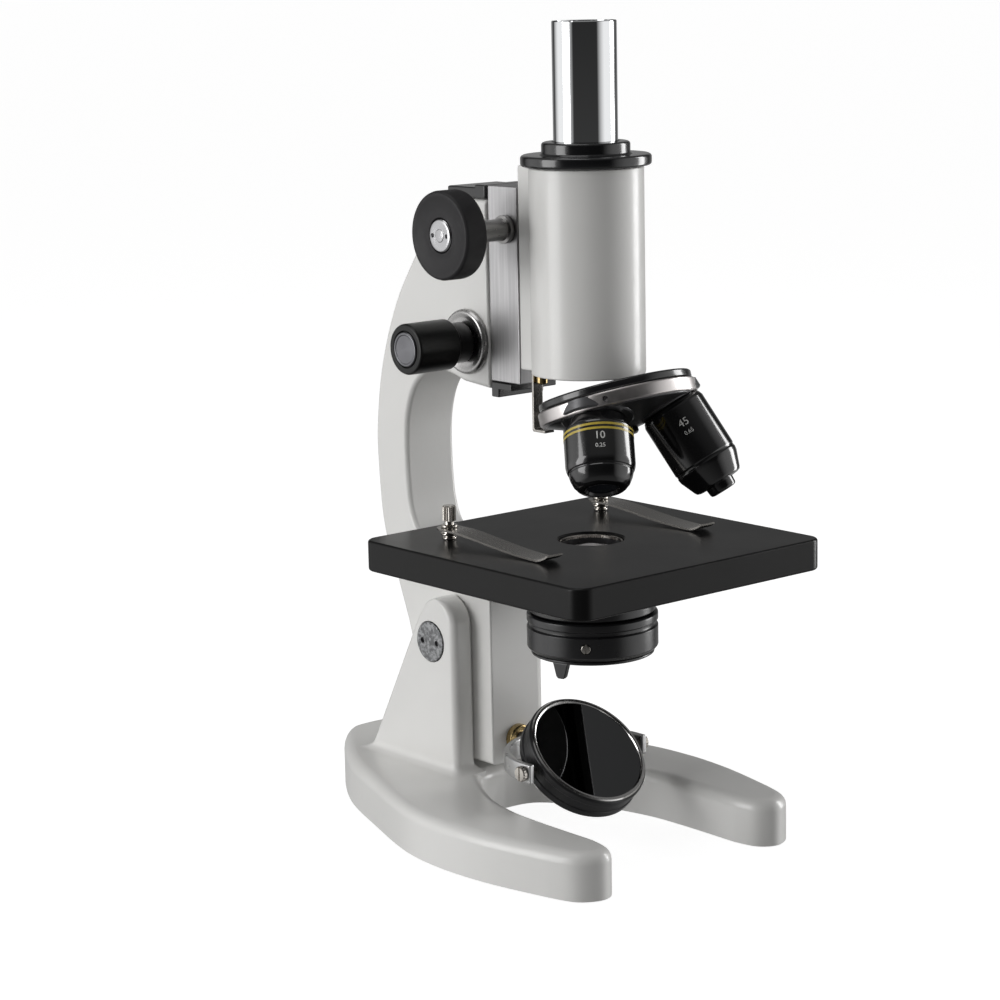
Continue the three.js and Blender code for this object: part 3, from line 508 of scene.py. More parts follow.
for word, side in SIDES.items():
    seat_level = CHEEK_OUTER - 1.5
    cap = turned([(0, seat_level), (CAP_RADIUS, seat_level), (CAP_RADIUS, seat_level + 2.1),
                  (0, seat_level + 2.2)],
                 72, 0.35)
    cap = spanner_holes(cap, 1.2, 4.6, seat_level + 1, seat_level + 4)
    moved(cap, outward(side, PIVOT_Y, PIVOT_Z))
    finished(cap, f"pivot_cover_{word}", cap_steel, "stand", [f"pivot_cap_{word}"])

# ---------- limb ----------
# The curved arm, the head that carries the slide and the tail between the cheeks are one iron
# casting, fettled flat on its sides, softly rounded at its edges and enamelled like the base.
LIMB_HALF = 13
HEAD_FRONT, HEAD_FOOT, HEAD_TOP = 45.5, 56.5, 132.3
TAIL_FRONT, TAIL_FOOT, SHELF = 48, -101.4, -12.8
limb_side = [
    (HEAD_FRONT, HEAD_FOOT), (HEAD_FRONT, HEAD_TOP),
    *spline([(68, HEAD_TOP), (80, 123), (93, 106), (106, 86), (116, 60.5), (120.5, 36), (120.8, 18),
             (118, -9), (110, -30), (103, -48)]), (103, -48),
    *spline([(93, -80), (90, -94), (80, TAIL_FOOT)], steps=5), (80, TAIL_FOOT), (TAIL_FRONT, TAIL_FOOT),
    (TAIL_FRONT, SHELF),
    *spline([(84, SHELF), (93, -9), (98, 0), (100, 14), (100.2, 32), (98, 44), (93, 53.5), (85, 59.5),
             (75, 61), (62, 58)]), (62, 58),
]


def round_of_arm(edge):
    """Whether an edge lies on a side of the arm, behind the flat front of the head and tail."""
    return abs(middle(edge).x) > LIMB_HALF - 0.1 and middle(edge).y > TAIL_FRONT + 1


arm = plate(limb_side, -LIMB_HALF, LIMB_HALF, "X")
soften(arm, 2.2, segments=5, angle=60, wanted=round_of_arm)
soften(arm, 0.9, segments=3, angle=60)
SCREW_HOLE_RADIUS, SCREW_Y, SCREW_Z = 1.9, 55, -26
screw_hole = moved(rod(SCREW_HOLE_RADIUS, 5, 40, 32), outward(-1, SCREW_Y, SCREW_Z))
arm = combined(arm, screw_hole, "DIFFERENCE")
finished(arm, "arm_casting", enamel, "limb", ["limb"])

# ---------- head cover ----------
# A black enamelled plate screwed over the head, with a raised lip behind the slide. It keeps
# dust out of the fine focus.
gloss_black = Finish("gloss_black_enamel", (0.008, 0.008, 0.009), 0.2,
                     fixed={"Coat Weight": 0.5, "Coat Roughness": 0.08})
gloss_black.vary_roughness(gloss_black.noise(260, 4), 0.12)
gloss_black.emboss(gloss_black.noise(700, 2), 0.00003, 0.5)


def block(x, y, z, round_by=0.5, segments=3):
    """A box between three pairs of levels, with rounded edges."""
    bm = bmesh.new()
    bmesh.ops.create_cube(bm, size=1)
    bmesh.ops.scale(bm, vec=(x[1] - x[0], y[1] - y[0], z[1] - z[0]), verts=bm.verts)
    bmesh.ops.translate(bm, vec=[sum(pair) / 2 for pair in (x, y, z)], verts=bm.verts)
    return soften(bm, round_by, segments)


LID_BOTTOM = HEAD_TOP + 0.3
lid = combined(
    block((-LIMB_HALF, LIMB_HALF), (HEAD_FRONT, 69), (LID_BOTTOM, LID_BOTTOM + 4.3), 0.8),
    block((-LIMB_HALF, LIMB_HALF), (HEAD_FRONT, 52), (LID_BOTTOM + 1, LID_BOTTOM + 5.4), 0.7),
)
finished(lid, "head_lid", gloss_black, "limb", ["head_cover"])

# ---------- fine focus escutcheons ----------
# Dished steel collars, turned and polished, pressed on the head round each end of the shaft
# of the fine focus.
FINE_Y, FINE_Z = 58, 74.7
fine_centre = row(0, FINE_Y, FINE_Z)
collar_steel = Finish("polished_collar_steel", (0.4, 0.395, 0.39), 0.28, 1.0)
collar_steel.vary_roughness(collar_steel.noise(500, 4), 0.12)
collar_steel.emboss(collar_steel.rings(fine_centre, "X", 0.00035), 0.000004, 0.5)
COLLAR_BACK = LIMB_HALF + 0.3
for word, side in SIDES.items():
    collar = turned(
        [(3.3, COLLAR_BACK), (13.2, COLLAR_BACK), (13.2, COLLAR_BACK + 1.3), (12.6, COLLAR_BACK + 2.3),
         (11.8, COLLAR_BACK + 2.6), (10.4, COLLAR_BACK + 2.2), (9.4, COLLAR_BACK + 1.8),
         (3.3, COLLAR_BACK + 1.8)],
        round_by=0.2,
    )
    moved(collar, outward(side, FINE_Y, FINE_Z))
    finished(collar, f"fine_collar_{word}", collar_steel, "limb", [f"fine_escutcheon_{word}"])

# ---------- stage ----------
# A square aluminium casting, hollow underneath and milled flat on top, in satin black enamel,
# with a tongue that sits in the limb and is held there by a set screw.
stage_black = Finish("stage_black_enamel", (0.006, 0.0058, 0.0056), 0.3, fixed={"Specular IOR Level": 0.18})
stage_cloud = stage_black.noise(35, 3)
stage_black.tint(stage_black.ramp(stage_cloud, [(0.35, 0.0), (0.8, 1.0)]), (0.0085, 0.0085, 0.009))
stage_black.vary_roughness(stage_cloud, 0.08)
stage_black.emboss(stage_black.noise(1400, 2), 0.000006, 0.4)
STAGE_HALF, STAGE_THICK, STAGE_PLATE, STAGE_CORNER, STAGE_HOLE = 65, 12.5, 5.5, 7, 13
CLIP_X, CLIP_Y = 40.6, 38.8


def rounded_square(half, corner):
    inner = half - corner
    quarters = ((inner, inner, 0), (-inner, inner, 90), (-inner, -inner, 180), (inner, -inner, 270))
    return [point for x, y, start in quarters for point in arc((x, y), corner, start, start + 90, 12)]


slab = soften(plate(rounded_square(STAGE_HALF, STAGE_CORNER), -STAGE_THICK, 0), 1.1, segments=4, angle=60)
slab = combined(slab, block((-59, 59), (-59, 42), (-STAGE_THICK - 4, -STAGE_PLATE), 2.0), "DIFFERENCE")
slab = combined(slab, block((-5, 5), (50, 60), (-34, -STAGE_THICK + 1), 0.4))
opening = turned([(0, -9), (STAGE_HOLE, -9), (STAGE_HOLE, -0.7), (STAGE_HOLE + 1.2, 0.5), (0, 0.5)], 96)
slab = combined(slab, opening, "DIFFERENCE")
for side in SIDES.values():
    slab = combined(slab, shifted(rod(2.3, -9, 1), side * CLIP_X, CLIP_Y), "DIFFERENCE")
finished(slab, "stage_plate", stage_black, "limb", ["stage"])

dark_steel = Finish("oiled_dark_steel", (0.16, 0.163, 0.168), 0.3, 0.95)
dark_steel.vary_roughness(dark_steel.noise(800, 4), 0.2)
dark_steel.emboss(dark_steel.noise(1800), 0.00002, 0.5)
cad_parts["stage_set_screw"].material_slots[0].material = dark_steel.material

# ---------- clip pins ----------
# Turned posts of nickelled steel riveted in the stage, each with two collars, on the upper of
# which its clip rests.
warm_steel = Finish("nickelled_steel", (0.56, 0.53, 0.49), 0.2, 1.0)
warm_steel.vary_roughness(warm_steel.noise(600, 4), 0.16)
warm_steel.emboss(warm_steel.noise(2200), 0.00001, 0.5)
CLIP_RISE, CLIP_THICK = 4.2, 0.8
for word, side in SIDES.items():
    post = turned(
        [(0, -8), (2, -8), (2, 0.3), (2.9, 0.3), (2.9, 1.2), (2.2, 1.3), (2.2, 2.0), (3.4, 2.1), (3.4, 2.8),
         (2.6, 2.9), (2.6, 3.9), (1.5, 3.9), (1.5, 10.3), (0, 10.5)],
        48, 0.12, 2,
    )
    shifted(post, side * CLIP_X, CLIP_Y)
    finished(post, f"clip_post_{word}", warm_steel, "limb", [f"clip_pin_{word}"])

# ---------- spring clips ----------
# Blades of spring steel, cut from strip, bowed to press on a slide and turned up at the toe.
# Each hangs on its post under a knurled screw, and swivels over the stage.
blade_steel = Finish("spring_steel", (0.36, 0.345, 0.325), 0.26, 1.0)
grain = blade_steel.noise(300, 4, blade_steel.place(stretch=(6, 0.6, 1)))
blade_steel.vary_roughness(grain, 0.1)
blade_steel.emboss(grain, 0.000002, 0.5)
BLADE_HALF, BLADE_REACH = 5, 63


def blade_height(y):
    """Height of the blade's underside: level at the post, bowed down, then turned up."""
    run = min(1, max(0, (-y - 8) / 50))
    bow = CLIP_RISE - 3.75 * math.sin(run * math.pi / 2) ** 1.4
    toe = max(0, -y - 57) / 6
    return bow + 2.3 * toe**1.6


for word, side in SIDES.items():
    outline = [(-4, -BLADE_REACH), (4, -BLADE_REACH), (4.6, -BLADE_REACH + 6)]
    outline += list(arc((0, 0), BLADE_HALF, 0, 180, 24)) + [(-4.6, -BLADE_REACH + 6)]
    blade = bmesh.new()
    blade.faces.new([blade.verts.new((x, y, 0)) for x, y in outline])
    for step in range(1, 42):
        bmesh.ops.bisect_plane(
            blade, geom=blade.verts[:] + blade.edges[:] + blade.faces[:],
            plane_co=(0, -step * 1.5, 0), plane_no=(0, 1, 0),
        )
    raised = bmesh.ops.extrude_face_region(blade, geom=blade.faces[:], use_keep_orig=True)
    upper = new_parts(raised, bmesh.types.BMVert)
    bmesh.ops.translate(blade, verts=upper, vec=(0, 0, CLIP_THICK))
    bmesh.ops.recalc_face_normals(blade, faces=blade.faces)
    blade = combined(blade, rod(1.8, -1, 2), "DIFFERENCE")
    for vertex in blade.verts:
        vertex.co.z += blade_height(vertex.co.y)
    shifted(blade, side * CLIP_X, CLIP_Y)
    finished(blade, f"clip_blade_{word}", blade_steel, f"{word}_clip", [f"clip_leaf_{word}"])


def knurled(radius, depth, teeth, low, high, chamfer=0.5):
    """A head with straight knurling round it and a chamfer at the top."""
    bm = bmesh.new()
    ring = [
        bm.verts.new(((radius - depth * (n % 2)) * math.cos(math.pi * n / teeth),
                      (radius - depth * (n % 2)) * math.sin(math.pi * n / teeth), low))
        for n in range(2 * teeth)
    ]
    top = bm.faces.new(ring)
    for rise, shrink in ((high - chamfer - low, 1), (chamfer, (radius - chamfer) / radius)):
        grown = bmesh.ops.extrude_face_region(bm, geom=[top], use_keep_orig=top.verts[0].co.z == low)
        verts = new_parts(grown, bmesh.types.BMVert)
        top = new_parts(grown, bmesh.types.BMFace)[0]
        bmesh.ops.translate(bm, verts=verts, vec=(0, 0, rise))
        bmesh.ops.scale(bm, vec=(shrink, shrink, 1), verts=verts)
    bmesh.ops.recalc_face_normals(bm, faces=bm.faces)
    return bm


CLIP_SCREW_FOOT = CLIP_RISE + CLIP_THICK + 0.3
for word, side in SIDES.items():
    nut = turned([(0, CLIP_SCREW_FOOT), (3.3, CLIP_SCREW_FOOT), (3.3, CLIP_SCREW_FOOT + 0.7),
                  (1.9, CLIP_SCREW_FOOT + 0.9), (1.9, 8.2), (0, 8.2)], 48, 0.1, 2)
    nut = combined(nut, knurled(2.7, 0.22, 22, 7.8, 13.9))
    shifted(nut, side * CLIP_X, CLIP_Y)
    finished(nut, f"clip_head_{word}", warm_steel, f"{word}_clip", [f"clip_screw_{word}"])

# ---------- condenser and iris ----------
# A turned aluminium cup, blacked, screwed under the stage with a plano-convex lens in its
# snout. The iris housing plugs in below it, and a lever plate with a tab turns under that.
cup_black = Finish("blacked_aluminium", (0.012, 0.012, 0.013), 0.3,
                   fixed={"Coat Weight": 0.3, "Coat Roughness": 0.15})
cup_black.vary_roughness(cup_black.noise(300, 4), 0.14)
cup_black.emboss(cup_black.rings(row(0, 0, 0), "Z", 0.0004), 0.000005, 0.5)
condenser = turned(
    [(12, -10), (21, -10), (21, -28.7), (24.4, -28.7), (25.2, -28.1), (25.2, -20), (24.6, -19.6),
     (24.6, -18.4), (25.2, -18), (25.2, -5.8), (12.7, -5.8), (12.7, -1.5), (12, -1.5)], 128, 0.2, 2,
)
finished(condenser, "condenser_cup", cup_black, "limb", ["condenser_mount"])
snout = turned([(12.0, -2.2), (12.75, -2.2), (12.75, -1.2), (12.4, -0.9), (12.0, -1.2)], 96)
finished(snout, "condenser_lip", warm_steel, "limb", ["condenser_mount"])

# The clear lens is given a pale, warm, half-opaque colour: a painted highlight that stands for the light the
# glass catches under the stage hole.
lens_glass_painted_highlight = Finish("lens_glass_painted_highlight", (0.75, 0.72, 0.72), 0.03, fixed={"Transmission Weight": 0.4, "IOR": 1.5})
lens_glass_painted_highlight.vary_roughness(lens_glass_painted_highlight.noise(200), 0.02)
bulge_angles = [step * math.pi / 40 for step in range(15)]
bulge = [(11.7 * math.sin(angle), -2.2 - 11 * (1 - math.cos(angle * 0.8))) for angle in bulge_angles]
lens = turned([(0, -8.5), (11.7, -8.5), (11.7, -4.6)] + list(reversed(bulge)), 96)
finished(lens, "condenser_glass", lens_glass_painted_highlight, "limb", ["condenser_lens"])

iris = turned(
    [(14, -44.3), (24.6, -44.3), (25.4, -43.6), (26.2, -42.6), (26.2, -34.6), (25.2, -34.1), (25.2, -32.7),
     (26.2, -32.2), (26.2, -29.6), (25.7, -29), (20.6, -29), (20.6, -24), (18, -24), (18, -40.3),
     (14, -40.3)],
    128, 0.2, 2,
)
IRIS_SCREW_TURN, IRIS_SCREW_Z = math.radians(222), -38.7
screw_way = Matrix.Rotation(IRIS_SCREW_TURN, 4, "Z") @ outward(1, 0, IRIS_SCREW_Z)
iris = combined(iris, moved(rod(2.1, 22, 30), screw_way), "DIFFERENCE")
finished(iris, "iris_cup", cup_black, "limb", ["iris_housing"])


def slotted(bm, width, depth, top, reach):
    """Cuts a screwdriver slot across a head whose top is at a height."""
    return combined(bm, block((-reach, reach), (-width / 2, width / 2), (top - depth, top + 2), 0.02, 1),
                    "DIFFERENCE")


set_screw = slotted(rod(1.85, 19, 26.4, 32, 0.25), 0.6, 0.8, 26.4, 4)
finished(moved(set_screw, screw_way), "iris_grub_screw", warm_steel, "limb", ["iris_screw"])

LEVER_TURN = math.radians(196)
lever = turned([(8, -45.8), (24, -45.8), (24.6, -45.4), (24.6, -44.6), (8, -44.6)], 128, 0.15, 2)
tab = plate([(-3.6, 0), (-3.2, -1.2), (-2.0, -5.6), (-1.2, -6.4), (1.2, -6.4), (2.0, -5.6), (3.2, -1.2),
             (3.6, 0)], 0, 2.4, "X")
soften(tab, 0.4, 3, 50)
tab_place = Matrix.Rotation(LEVER_TURN, 4, "Z") @ Matrix.Translation((22, 0, -45.4))
lever = combined(lever, moved(tab, tab_place))
finished(lever, "iris_lever_plate", cup_black, "iris", ["iris_lever"])

# ---------- mirror ----------
# A flat mirror and a concave one, back to back in a moulded black housing with a bright bezel
# on each face. The housing hangs on two screws in a half-ring fork of forged steel, whose stem
# turns in a brass bush at the foot of the limb.
MIRROR_Y, MIRROR_Z, MIRROR_TILT = 7, -91.5, math.radians(41.5)
mirror_place = Matrix.Translation((0, MIRROR_Y, MIRROR_Z)) @ Matrix.Rotation(MIRROR_TILT, 4, "X")
housing_black = Finish("moulded_housing_black", (0.012, 0.012, 0.013), 0.32)
housing_black.vary_roughness(housing_black.noise(300, 4), 0.16)
housing_black.emboss(housing_black.noise(1200, 3), 0.00004, 0.6)
housing = turned(
    [(0, -2), (23.9, -2), (23.9, -5.4), (24.6, -5.6), (25.3, -5.4), (26, -4.6), (26, -2.2), (25.5, -1.8),
     (25.5, 1.8), (26, 2.2), (26, 4.6), (25.3, 5.4), (24.6, 5.6), (23.9, 5.4), (23.9, 2),
     (0, 2)], 128, 0.15, 2, 30,
)
finished(moved(housing, mirror_place), "mirror_housing", housing_black, "mirror", ["mirror_frame"])
bezel_steel = Finish("bright_bezel", (0.66, 0.65, 0.64), 0.14, 1.0)
bezel_steel.vary_roughness(bezel_steel.noise(500, 4), 0.12)
for face, word in ((1, "front"), (-1, "back")):
    bezel = turned([(23.3, 4.9), (25.2, 4.9), (25.3, 5.5), (24.9, 5.95), (24.2, 6.0), (23.6, 5.8),
                    (23.3, 5.3)], 128)
    bmesh.ops.scale(bezel, vec=(1, 1, face), verts=bezel.verts)
    bmesh.ops.recalc_face_normals(bezel, faces=bezel.faces)
    finished(moved(bezel, mirror_place), f"mirror_bezel_{word}", bezel_steel, "mirror", ["mirror_frame"])
silvered = Finish("silvered_glass", (0.13, 0.132, 0.135), 0.03, 1.0)
silvered.vary_roughness(silvered.noise(80, 4), 0.02)
plane = turned([(0, 2.3), (23.6, 2.3), (23.6, 5.1), (23.2, 5.3), (0, 5.3)], 128)
finished(moved(plane, mirror_place), "mirror_plane_glass", silvered, "mirror", ["plane_mirror"])
dish = [(0, -2.3), (23.6, -2.3), (23.6, -5.3)]
dish += [(23.2 * part / 8, -5.3 + 1.8 * (1 - (part / 8) ** 2)) for part in range(8, -1, -1)]
dished = turned(dish, 128)
finished(moved(dished, mirror_place), "mirror_dished_glass", silvered, "mirror", ["concave_mirror"])

FORK_INNER, FORK_OUTER, FORK_HALF, FORK_TOE = 29.2, 31.8, 4, 4
fork_steel = Finish("satin_fork_steel", (0.6, 0.6, 0.6), 0.3, 0.9)
fork_steel.vary_roughness(fork_steel.noise(300, 4), 0.18)
fork_steel.emboss(fork_steel.noise(900, 3), 0.00003, 0.5)
bow = bmesh.new()
section = [(FORK_INNER, -FORK_HALF), (FORK_OUTER, -FORK_HALF), (FORK_OUTER, FORK_HALF),
           (FORK_INNER, FORK_HALF)]
end_face = bow.faces.new([bow.verts.new((r, -FORK_TOE, z)) for r, z in section])
start = bmesh.ops.extrude_face_region(bow, geom=[end_face], use_keep_orig=True)
bmesh.ops.translate(bow, verts=new_parts(start, bmesh.types.BMVert), vec=(0, FORK_TOE, 0))
seam = new_parts(start, bmesh.types.BMFace)
swept = bmesh.ops.spin(
    bow, geom=seam + [e for f in seam for e in f.edges] + [v for f in seam for v in f.verts],
    cent=(0, 0, 0), axis=(0, 0, 1), angle=math.pi, steps=64,
)
tail = new_parts(swept, bmesh.types.BMFace, "geom_last")
finish_end = bmesh.ops.extrude_face_region(bow, geom=tail)
last = new_parts(finish_end, bmesh.types.BMVert)
bmesh.ops.translate(bow, verts=last, vec=(0, -FORK_TOE, 0))
bmesh.ops.delete(bow, geom=[f for f in seam + tail if f.is_valid], context="FACES_ONLY")
bmesh.ops.remove_doubles(bow, verts=bow.verts, dist=0.001)
bmesh.ops.recalc_face_normals(bow, faces=bow.faces)
soften(bow, 0.7, 3, 40)
along_y = Matrix.Rotation(-math.pi / 2, 4, "X")
stem = moved(turned([(0, 30), (4.2, 30), (4.2, 33.5), (2.9, 34.5), (2.9, 53), (0, 53)], 48, 0.2, 2), along_y)
bow = combined(bow, stem)
shifted(bow, 0, MIRROR_Y, MIRROR_Z)
finished(bow, "fork_bow", fork_steel, "fork", ["mirror_fork"])
for word, side in SIDES.items():
    shank = turned([(0, 24.2), (1.25, 24.2), (1.25, 32.1), (2.0, 32.1), (2.0, 32.5), (0, 32.5)], 32)
    pivot = combined(shank, shifted(knurled(3.2, 0.18, 20, 0, 1.7, 0.4), z=32.3))
    pivot = slotted(pivot, 0.8, 0.6, 34.0, 5)
    moved(pivot, outward(side, MIRROR_Y, MIRROR_Z))
    finished(pivot, f"mirror_pivot_{word}", warm_steel, "fork", [f"mirror_screw_{word}"])

brass = Finish("turned_brass", (0.5, 0.37, 0.17), 0.26, 1.0)
brass.tint(brass.ramp(brass.noise(400, 4), [(0.35, 0.0), (0.75, 1.0)]), (0.38, 0.29, 0.15))
brass.vary_roughness(brass.noise(700, 4), 0.2)
bush = turned([(3.2, 44.3), (5.4, 44.3), (6, 44.9), (6, 47.7), (4.3, 47.7), (4.3, 62), (3.2, 62)], 64, 0.2, 2)
moved(bush, Matrix.Translation((0, 0, MIRROR_Z)) @ along_y)
finished(bush, "limb_bush", brass, "limb", ["fork_bush"])

# ---------- slide block ----------
# A ground steel block that slides in the head for the fine focus. The rack's way is milled down
# its front, and a black stop plate with a lip is screwed under it.
ground_steel = Finish("ground_steel", (0.5, 0.495, 0.5), 0.42, 1.0)
streaks = ground_steel.noise(260, 5, ground_steel.place(stretch=(3, 3, 0.12)))
ground_steel.vary_roughness(streaks, 0.14)
ground_steel.tint(ground_steel.ramp(streaks, [(0.3, 0.0), (0.8, 1.0)]), (0.37, 0.365, 0.37))
ground_steel.emboss(streaks, 0.000006, 0.6)
BLOCK_HALF, BLOCK_FRONT, BLOCK_BACK, BLOCK_FOOT, BLOCK_TOP = 12, 27.4, 45.2, 59.9, 138
slide = block((-BLOCK_HALF, BLOCK_HALF), (BLOCK_FRONT, BLOCK_BACK), (BLOCK_FOOT, BLOCK_TOP), 0.5)
slide = combined(slide, block((-4.4, 4.4), (20, 31.4), (50, 145), 0.2, 2), "DIFFERENCE")
slide = combined(slide, block((-4, 4), (44, FINE_Y), (FINE_Z + 6.8, FINE_Z + 11), 0.4, 2))
COARSE_Y, COARSE_Z = 34.2, 121.2
slide = combined(slide, moved(rod(4.65, -20, 20), outward(1, COARSE_Y, COARSE_Z)), "DIFFERENCE")
finished(slide, "slide_bar", ground_steel, "fine_slide", ["slide_block"])
stop = combined(
    block((-BLOCK_HALF, BLOCK_HALF), (BLOCK_FRONT + 5.5, BLOCK_BACK), (56.6, 59.6), 0.5),
    block((-BLOCK_HALF, BLOCK_HALF), (BLOCK_BACK - 4.5, BLOCK_BACK), (53.4, 58.5), 0.5),
)
finished(stop, "slide_stop_plate", gloss_black, "fine_slide", ["slide_stop"])

# ---------- pinion sleeves and shafts ----------
# Turned steel sleeves carry the pinion's shaft out to the coarse knobs on both sides of the
# block. The shafts and the rack are plain turned and cut steel.
for word, side in SIDES.items():
    sleeve = turned(
        [(2.9, 5.5), (4.35, 5.5), (4.35, 12.4), (5.6, 12.5), (5.6, 14.2), (4.35, 14.5), (4.35, 35.4),
         (2.9, 35.4)],
        64, 0.15, 2,
    )
    moved(sleeve, outward(side, COARSE_Y, COARSE_Z))
    finished(sleeve, f"knob_sleeve_{word}", plain_steel, "fine_slide", [f"pinion_sleeve_{word}"])
for node in ("pinion_shaft", "fine_shaft", "rack"):
    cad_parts[node].material_slots[0].material = plain_steel.material

# ---------- coarse knobs ----------
# Moulded black knobs with a dished face, fine turning marks and a rolled rim, each held on
# the shaft by a bright nut with two spanner holes.
coarse_centre = row(0, COARSE_Y, COARSE_Z)
knob_black = Finish("moulded_knob_black", (0.026, 0.025, 0.0265), 0.46, fixed={"Specular IOR Level": 0.2})
knob_black.vary_roughness(knob_black.noise(350, 5), 0.16)
knob_black.emboss(knob_black.rings(coarse_centre, "X", 0.00055), 0.00001, 0.6)
knob_black.emboss(knob_black.noise(1600, 3), 0.00002, 0.5)
bright_nut = Finish("bright_knob_nut", (0.5, 0.5, 0.51), 0.22, 1.0)
bright_nut.vary_roughness(bright_nut.noise(900, 4), 0.2)
bright_nut.emboss(bright_nut.rings(coarse_centre, "X", 0.0003), 0.000006, 0.6)
for word, side in SIDES.items():
    knob = turned(
        [(2.9, 35.7), (6.5, 35.7), (7.2, 36.6), (14.6, 36.6), (15.2, 35.7), (16.5, 35.7), (17.2, 36.3),
         (17.4, 37.2), (17.4, 44.6), (17.1, 45.6), (16.4, 46.15), (15.4, 46.2), (14.6, 45.8), (11, 45.0),
         (8.6, 44.9), (7.8, 45.3), (7.0, 45.3), (6.8, 44.8), (6.8, 43.2), (2.9, 43.2)],
        160, 0.18, 2, 35,
    )
    moved(knob, outward(side, COARSE_Y, COARSE_Z))
    finished(knob, f"coarse_grip_{word}", knob_black, "coarse_drive", [f"coarse_knob_{word}"])
    nut = turned([(0, 43.5), (6.5, 43.5), (6.5, 45.2), (6.0, 45.75), (4.9, 45.9), (2.6, 45.7),
                  (2.3, 45.95), (0, 46.0)],
                 96, 0.08, 2, 35)
    nut = spanner_holes(nut, 0.9, 4.2, 44.6, 48)
    moved(nut, outward(side, COARSE_Y, COARSE_Z))
    finished(nut, f"coarse_nut_{word}", bright_nut, "coarse_drive", [f"coarse_cap_{word}"])

# ---------- fine knobs ----------
# Smaller moulded knobs on a waisted neck, one on each end of the shaft, with a spun aluminium
# disc let into the face.
fine_black = Finish("moulded_fine_knob_black", (0.005, 0.005, 0.005), 0.32, fixed={"Specular IOR Level": 0.3})
fine_black.vary_roughness(fine_black.noise(350, 5), 0.16)
fine_black.emboss(fine_black.noise(1500, 3), 0.00002, 0.6)
spun_aluminium = Finish("spun_aluminium", (0.17, 0.17, 0.18), 0.34, 1.0)
spun_aluminium.vary_roughness(spun_aluminium.noise(900, 5), 0.24)
spun_aluminium.emboss(spun_aluminium.rings(fine_centre, "X", 0.00035), 0.00001, 0.8)
for word, side in SIDES.items():
    grip = turned(
        [(3.3, 16.3), (7.6, 16.3), (8.2, 16.8), (8.2, 23.2), (8.7, 24.2), (9.8, 24.7), (10.2, 25.2),
         (10.2, 44.4), (9.9, 45.1), (9.3, 45.4), (7.6, 45.4), (7.3, 45.1), (7.3, 44.0), (3.3, 44.0)],
        128, 0.2, 2, 30,
    )
    moved(grip, outward(side, FINE_Y, FINE_Z))
    finished(grip, f"fine_grip_{word}", fine_black, "fine_drive", [f"fine_knob_{word}"])
    disc = turned([(0, 44.3), (7.0, 44.3), (7.0, 45.4), (6.6, 45.8), (5.9, 45.8), (5.6, 45.5),
                   (0, 45.6)], 96, 0.08, 2)
    moved(disc, outward(side, FINE_Y, FINE_Z))
    finished(disc, f"fine_disc_{word}", spun_aluminium, "fine_drive", [f"fine_cap_{word}"])

# ---------- body tube ----------
# A thick tube with a flat boss down its back for the rack, enamelled like the limb and open
# right through for the light. A short neck under it carries the nosepiece.
TUBE_RADIUS, TUBE_FOOT, TUBE_TOP = 22.4, 66.1, 146.6
NOSE_TILT, NOSE_TURN, NOSE_CIRCLE = math.radians(19), math.radians(10), 17.4
nose_centre = Vector((0, -NOSE_CIRCLE * math.cos(NOSE_TILT), 56))
nose_down = Vector((0, -math.sin(NOSE_TILT), -math.cos(NOSE_TILT)))
nose_rear = Vector((0, math.cos(NOSE_TILT), -math.sin(NOSE_TILT)))
nose_turn = Matrix((nose_rear.cross(nose_down), nose_rear, nose_down)).transposed().to_4x4()
nose_axes = Matrix.Translation(nose_centre) @ nose_turn
tube = turned([(10, TUBE_FOOT), (TUBE_RADIUS, TUBE_FOOT), (TUBE_RADIUS, TUBE_TOP), (14.5, TUBE_TOP),
               (14.5, 72), (10, 72)],
              160, 0.7, 4)
boss = block((-12, 12), (18.2, 27), (TUBE_FOOT, TUBE_TOP), 0.8, 4)
tube = combined(tube, boss)
tube = combined(tube, block((-4.3, 4.3), (25, 30), (71.7, 160), 0.1, 1), "DIFFERENCE")
neck = turned([(10, 48), (13, 48), (13, 67), (10, 67)], 128)
plate_top = nose_axes @ Vector((0, 0, -6.5))
bmesh.ops.bisect_plane(
    neck, geom=neck.verts[:] + neck.edges[:] + neck.faces[:], plane_co=plate_top, plane_no=nose_down,
    clear_outer=True,
)
bmesh.ops.holes_fill(neck, edges=[e for e in neck.edges if e.is_boundary], sides=0)
neck = combined(neck, rod(10, 30, 80), "DIFFERENCE")
tube = combined(tube, neck)
finished(tube, "tube_casting", enamel, "tube", ["body_tube"])

# ---------- flange and drawtube ----------
# A black flange with a collar screws into the top of the tube, and the chromed brass drawtube
# slides in it with a light friction.
flange = turned(
    [(12.8, 138), (14.2, 138), (14.2, 146.9), (24.6, 146.9), (25.3, 147.5), (25.4, 148.2), (25.4, 150.2),
     (25.1, 150.9), (24.4, 151.3), (18.2, 151.3), (17.4, 151.8), (17.2, 152.6), (17.2, 155.2),
     (16.8, 155.9), (16, 156.2), (13.4, 156.2), (12.8, 155.7)],
    160, 0.2, 2, 35,
)
finished(flange, "tube_collar", gloss_black, "tube", ["tube_flange"])
chrome = Finish("bright_chrome", (0.83, 0.84, 0.85), 0.04, 1.0)
chrome_wear = chrome.noise(200, 5, chrome.place(stretch=(4, 4, 0.3)))
chrome.vary_roughness(chrome_wear, 0.05)
chrome.emboss(chrome_wear, 0.000002, 0.4)
draw = turned([(11.65, 78), (12.5, 78), (12.5, 201.6), (12.25, 202), (11.9, 202), (11.65, 201.6)], 160)
finished(draw, "drawtube_sleeve", chrome, "drawtube", ["drawtube"])

